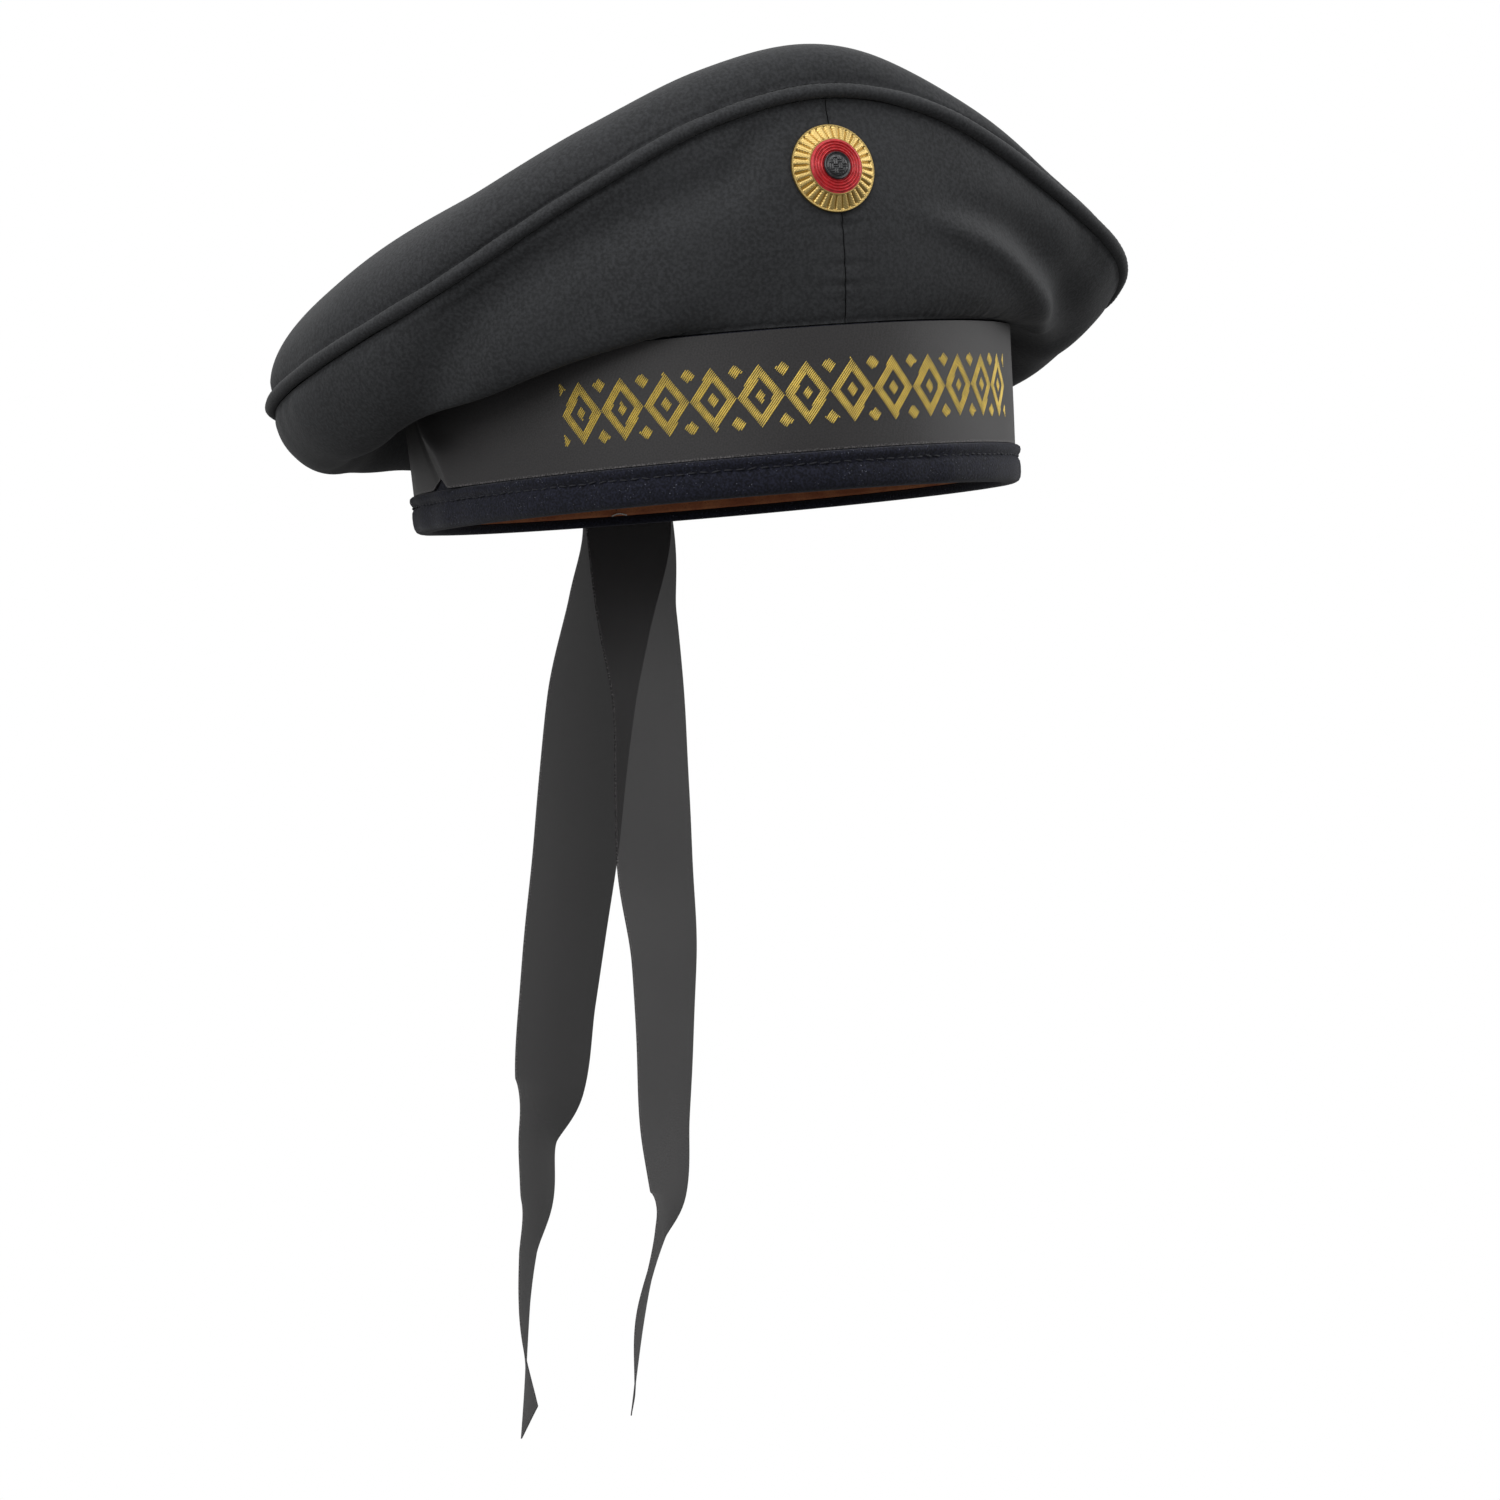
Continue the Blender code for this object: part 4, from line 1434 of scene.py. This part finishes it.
@dataclass
class Cockade:
    """The round badge on the front seam: a pleated gold ring, a ridged red disc and a black button."""

    ring_radius: float = 12.9 * MM
    ring_edge: float = 0.7 * MM
    ring_rise: float = 2.5 * MM
    pleats: int = 32
    pleat_depth: float = 0.55 * MM
    disc_radius: float = 8.0 * MM
    button_radius: float = 4.1 * MM
    ridges: int = 4

    def seat(self) -> Matrix:
        """The place of the badge's back, with Z out of the cloth, from the part's own ring."""
        points = np.array([v.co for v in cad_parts["cockade_ring"].data.vertices])
        middle = points.mean(0)
        out = np.linalg.svd(points - middle, full_matrices=False)[2][2]
        out = -out if out[1] > 0 else out
        base = ((points - middle) @ out).min()
        across = np.array([1.0, 0.0, 0.0])
        up = np.cross(out, across)
        matrix = Matrix((across, up, out)).transposed().to_4x4()
        matrix.translation = Vector(middle + out * base)
        return matrix

    def turned(self, name: str, radius: Array, height: Array) -> bpy.types.Mesh:
        """A closed piece from rings of points.

        Args:
            name: The mesh's name.
            radius: The rings' radii, one row for each ring, with the columns round it. The first
                and the last ring are closed with a flat face.
            height: The points' heights.

        Returns:
            The mesh, in the cap's frame.
        """
        rows, columns = radius.shape
        turn = np.arange(columns) * (2 * math.pi / columns)
        points = np.stack([radius * np.sin(turn), -radius * np.cos(turn), height], -1)
        matrix = np.array(self.seat())
        world = points.reshape(-1, 3) @ matrix[:3, :3].T + matrix[:3, 3]
        i, j = (a.ravel() for a in np.meshgrid(np.arange(rows - 1), np.arange(columns), indexing="ij"))
        following = (j + 1) % columns
        faces = np.stack([i * columns + j, i * columns + following, (i + 1) * columns + following, (i + 1) * columns + j], 1)
        mesh = bpy.data.meshes.new(name)
        ends = [list(range(columns))[::-1], [(rows - 1) * columns + k for k in range(columns)]]
        mesh.from_pydata(world.tolist(), [], faces.tolist() + ends)
        layer = mesh.uv_layers.new(name=CLOTH_MAP)
        flat = [(float(turn[k % columns] * 10 * MM), float(radius.ravel()[k])) for f in mesh.polygons for k in f.vertices]
        layer.uv.foreach_set("vector", np.array(flat, np.float32).ravel())
        editable = bmesh.new()
        editable.from_mesh(mesh)
        bmesh.ops.recalc_face_normals(editable, faces=editable.faces)
        editable.to_mesh(mesh)
        editable.free()
        smooth_shaded(mesh)
        return mesh

    def ring_mesh(self) -> bpy.types.Mesh:
        """The pleated ring: flat-topped pleats with narrow grooves, between a rim and an inner bead."""
        columns = self.pleats * 12
        phase = (np.arange(columns) / columns * self.pleats) % 1
        groove = np.exp(-(((phase - 0.5) / 0.13) ** 2)) + 0.25 * np.abs(phase - 0.5) * 0
        lift = 0.35 * np.cos((phase - 0.5) * 2 * math.pi)
        shares = np.array([0, 0.02, 0.05, 0.09, 0.14, 0.2, 0.3, 0.4, 0.5, 0.6, 0.7, 0.8, 0.88, 0.93, 0.97, 1.0])
        outer, inner = self.ring_radius - 0.55 * MM, self.disc_radius + 0.35 * MM
        radius = [np.full(columns, r) for r in (2.5 * MM, self.ring_radius)]
        height = [np.zeros(columns), np.zeros(columns)]
        for r, z in ((self.ring_radius, 0.45), (self.ring_radius - 0.12 * MM, 0.7), (outer + 0.1 * MM, 0.75)):
            radius.append(np.full(columns, r))
            height.append(np.full(columns, z * MM))
        for share in shares:
            depth = self.pleat_depth * min(1.0, share / 0.1, (1 - share) / 0.08)
            radius.append(np.full(columns, outer + (inner - outer) * share))
            cone = self.ring_edge + (self.ring_rise - self.ring_edge) * share
            height.append(cone - depth * groove - 0.25 * depth * lift)
        for r, z in ((inner - 0.1 * MM, 2.75), (inner - 0.3 * MM, 2.8), (self.disc_radius - 0.4 * MM, 2.62), (2.5 * MM, 2.5)):
            radius.append(np.full(columns, r))
            height.append(np.full(columns, z * MM))
        return self.turned("pleated_ring", np.array(radius), np.array(height))

    def disc_mesh(self) -> bpy.types.Mesh:
        """The red disc, with ridges round it."""
        columns = 96
        start = self.button_radius + 0.25 * MM
        shares = np.linspace(0, 1, self.ridges * 10 + 1)
        wave = 0.5 - 0.5 * np.cos(shares * self.ridges * 2 * math.pi)
        radii = start + (self.disc_radius - 0.25 * MM - start) * shares
        heights = 3.45 * MM - 0.5 * MM * shares + 0.42 * MM * wave
        radius = [0.5 * MM, self.disc_radius - 0.1 * MM, self.disc_radius]
        height = [2.85 * MM, 2.85 * MM, 2.95 * MM]
        radius += list(radii[::-1])
        height += list(heights[::-1])
        radius += [start - 0.1 * MM, 0.5 * MM]
        height += [3.3 * MM, 3.3 * MM]
        grid = np.repeat(np.array([radius, height])[..., None], columns, axis=2)
        return self.turned("ridged_disc", grid[0], grid[1])

    def button_mesh(self) -> bpy.types.Mesh:
        """The black button: a rim round a domed middle of wound cord."""
        columns = 144
        turn = np.arange(columns) * (2 * math.pi / columns)
        shares = np.linspace(1, 0.02, 44)
        radii = self.button_radius * shares
        rim = np.exp(-(((shares - 0.93) / 0.045) ** 2)) * 0.28 * MM
        moat = -np.exp(-(((shares - 0.80) / 0.045) ** 2)) * 0.20 * MM
        dome = 0.55 * MM * (1 - shares**2)
        x, y = radii[:, None] * np.sin(turn), radii[:, None] * np.cos(turn)
        pitch = 1.35 * MM
        over = np.sin(x * math.pi / pitch + 0.4) * np.sin(y * math.pi / pitch + 0.9)
        cords = np.where(over > 0, np.abs(np.sin(x * 2 * math.pi / pitch)), np.abs(np.sin(y * 2 * math.pi / pitch)))
        within = (1 - shares / 0.74).clip(0, 0.2)[:, None] * 5
        relief = 0.24 * MM * cords * within
        height = 3.95 * MM + (rim + moat + dome)[:, None] + relief
        radius = np.broadcast_to(radii[:, None], height.shape)
        base = np.full((1, columns), self.button_radius)
        radius = np.concatenate([np.full((1, columns), 0.2 * MM), base, radius])
        height = np.concatenate([np.full((2, columns), 3.45 * MM), height])
        return self.turned("corded_button", radius, height)

    def build(self) -> None:
        """Makes the badge's three pieces."""
        gold = StampedGold("stamped gilt").material()
        red = Lacquer("red lacquer", (0.42, 0.008, 0.012), (0.62, 0.022, 0.030), 0.25).material()
        black = Lacquer("black lacquer", (0.010, 0.010, 0.012), (0.030, 0.031, 0.034), 0.3).material()
        place(self.ring_mesh(), gold, Slot.GOLD, ["cockade_ring"])
        place(self.disc_mesh(), red, Slot.RED, ["cockade_disc"])
        place(self.button_mesh(), black, Slot.BLACK, ["cockade_button"])


@dataclass
class Studio:
    """The camera, soft lights and a plain pale floor and backdrop."""

    azimuth: float = 23.6  # the camera stands round towards the wearer's right
    elevation: float = 0.6
    roll: float = 4.8
    distance: float = 1.9
    focal: float = 6308.0  # pixels
    picture: float = 1500.0
    origin: tuple[float, float] = (717.0, 509.0)  # the cap's origin in the picture
    floor_height: float = -0.32
    dome_radius: float = 7.0

    def camera(self) -> None:
        """Makes the camera at the photograph's place."""
        a, e, roll = (math.radians(v) for v in (self.azimuth, self.elevation, self.roll))
        ahead = Vector((math.sin(a) * math.cos(e), math.cos(a) * math.cos(e), -math.sin(e)))
        level = Vector((math.cos(a), -math.sin(a), 0))
        upright = level.cross(ahead)
        right = level * math.cos(roll) - upright * math.sin(roll)
        up = level * math.sin(roll) + upright * math.cos(roll)
        x = (self.origin[0] - self.picture / 2) / self.focal * self.distance
        y = (self.picture / 2 - self.origin[1]) / self.focal * self.distance
        data = bpy.data.cameras.new("camera")
        data.sensor_width = 36
        data.lens = self.focal / self.picture * data.sensor_width
        data.clip_start, data.clip_end = 0.05, 50
        camera = bpy.data.objects.new("camera", data)
        matrix = Matrix((right, up, -ahead)).transposed().to_4x4()
        matrix.translation = -(right * x + up * y + ahead * self.distance)
        camera.matrix_world = matrix
        bpy.context.scene.collection.objects.link(camera)
        bpy.context.scene.camera = camera

    def lamp(self, name: str, place_at: Colour, size: float, power: float) -> None:
        """A square soft light that faces the cap.

        Args:
            name: The light's name.
            place_at: Where it stands.
            size: The length of its sides.
            power: Its power in watts.
        """
        data = bpy.data.lights.new(name, "AREA")
        data.shape = "SQUARE"
        data.size = size
        data.energy = power
        lamp = bpy.data.objects.new(name, data)
        lamp.location = place_at
        lamp.rotation_mode = "QUATERNION"
        lamp.rotation_quaternion = (Vector((0, 0, 0.05)) - Vector(place_at)).to_track_quat("-Z", "Y")
        bpy.context.scene.collection.objects.link(lamp)

    def world(self) -> None:
        """Soft light from all round, brighter from above."""
        world = bpy.data.worlds.new("studio")
        bpy.context.scene.world = world
        world.use_nodes = True
        tree = world.node_tree
        background = tree.nodes["Background"]
        way = tree.nodes.new("ShaderNodeTexCoord").outputs["Generated"]
        parts = tree.nodes.new("ShaderNodeSeparateXYZ")
        tree.links.new(way, parts.inputs[0])
        ramp = tree.nodes.new("ShaderNodeMapRange")
        ramp.interpolation_type = "SMOOTHSTEP"
        for name, value in (("From Min", -0.6), ("From Max", 0.8), ("To Min", 0.18), ("To Max", 0.95)):
            ramp.inputs[name].default_value = value
        tree.links.new(parts.outputs[2], ramp.inputs["Value"])
        tree.links.new(ramp.outputs[0], background.inputs["Strength"])
        background.inputs["Color"].default_value = (1, 1, 1, 1)

    def backdrop(self) -> None:
        """A pale floor, and a dome that only the camera sees."""
        white = bpy.data.materials.new("backdrop white")
        white.use_nodes = True
        shader = white.node_tree.nodes["Principled BSDF"]
        shader.inputs["Base Color"].default_value = (0, 0, 0, 1)
        shader.inputs["Specular IOR Level"].default_value = 0
        shader.inputs["Emission Color"].default_value = (1, 1, 1, 1)
        shader.inputs["Emission Strength"].default_value = 1.0
        for name, floor in (("floor", True), ("backdrop", False)):
            mesh = bpy.data.meshes.new(name)
            editable = bmesh.new()
            if floor:
                bmesh.ops.create_circle(editable, cap_ends=True, segments=96, radius=self.dome_radius)
            else:
                bmesh.ops.create_uvsphere(editable, u_segments=48, v_segments=24, radius=self.dome_radius)
            editable.to_mesh(mesh)
            editable.free()
            mesh.materials.append(white)
            thing = bpy.data.objects.new(name, mesh)
            thing.location.z = self.floor_height if floor else 0
            for ray in ("diffuse", "glossy", "transmission", "volume_scatter", "shadow"):
                setattr(thing, "visible_" + ray, False)
            bpy.context.scene.collection.objects.link(thing)

    def build(self) -> None:
        """Sets the studio up."""
        self.camera()
        self.lamp("left light", (-1.5, -0.9, 0.9), 1.2, 14)
        self.lamp("right light", (1.6, -0.2, 0.5), 1.2, 10)
        self.lamp("top light", (0.1, -0.5, 1.8), 1.3, 9)
        self.world()
        self.backdrop()
        bpy.context.scene.view_settings.view_transform = "Standard"
        bpy.context.scene.view_settings.look = "None"


def main() -> None:
    """Builds the cap and its studio."""
    logging.basicConfig(level=logging.INFO, format="%(message)s")
    Studio().build()
    Crown().build()
    Headband().build()
    Sweatband().build()
    Ribbon().build()
    silk = Silk("streamer silk", cover=0.83, roughness=0.62, gloss=0.35).material()
    Streamer("left_tail", "streamer_left", LEFT_STREAMER).build(silk)
    Streamer("right_tail", "streamer_right", RIGHT_STREAMER).build(silk)
    Cockade().build()


if __name__ == "__main__":
    main()
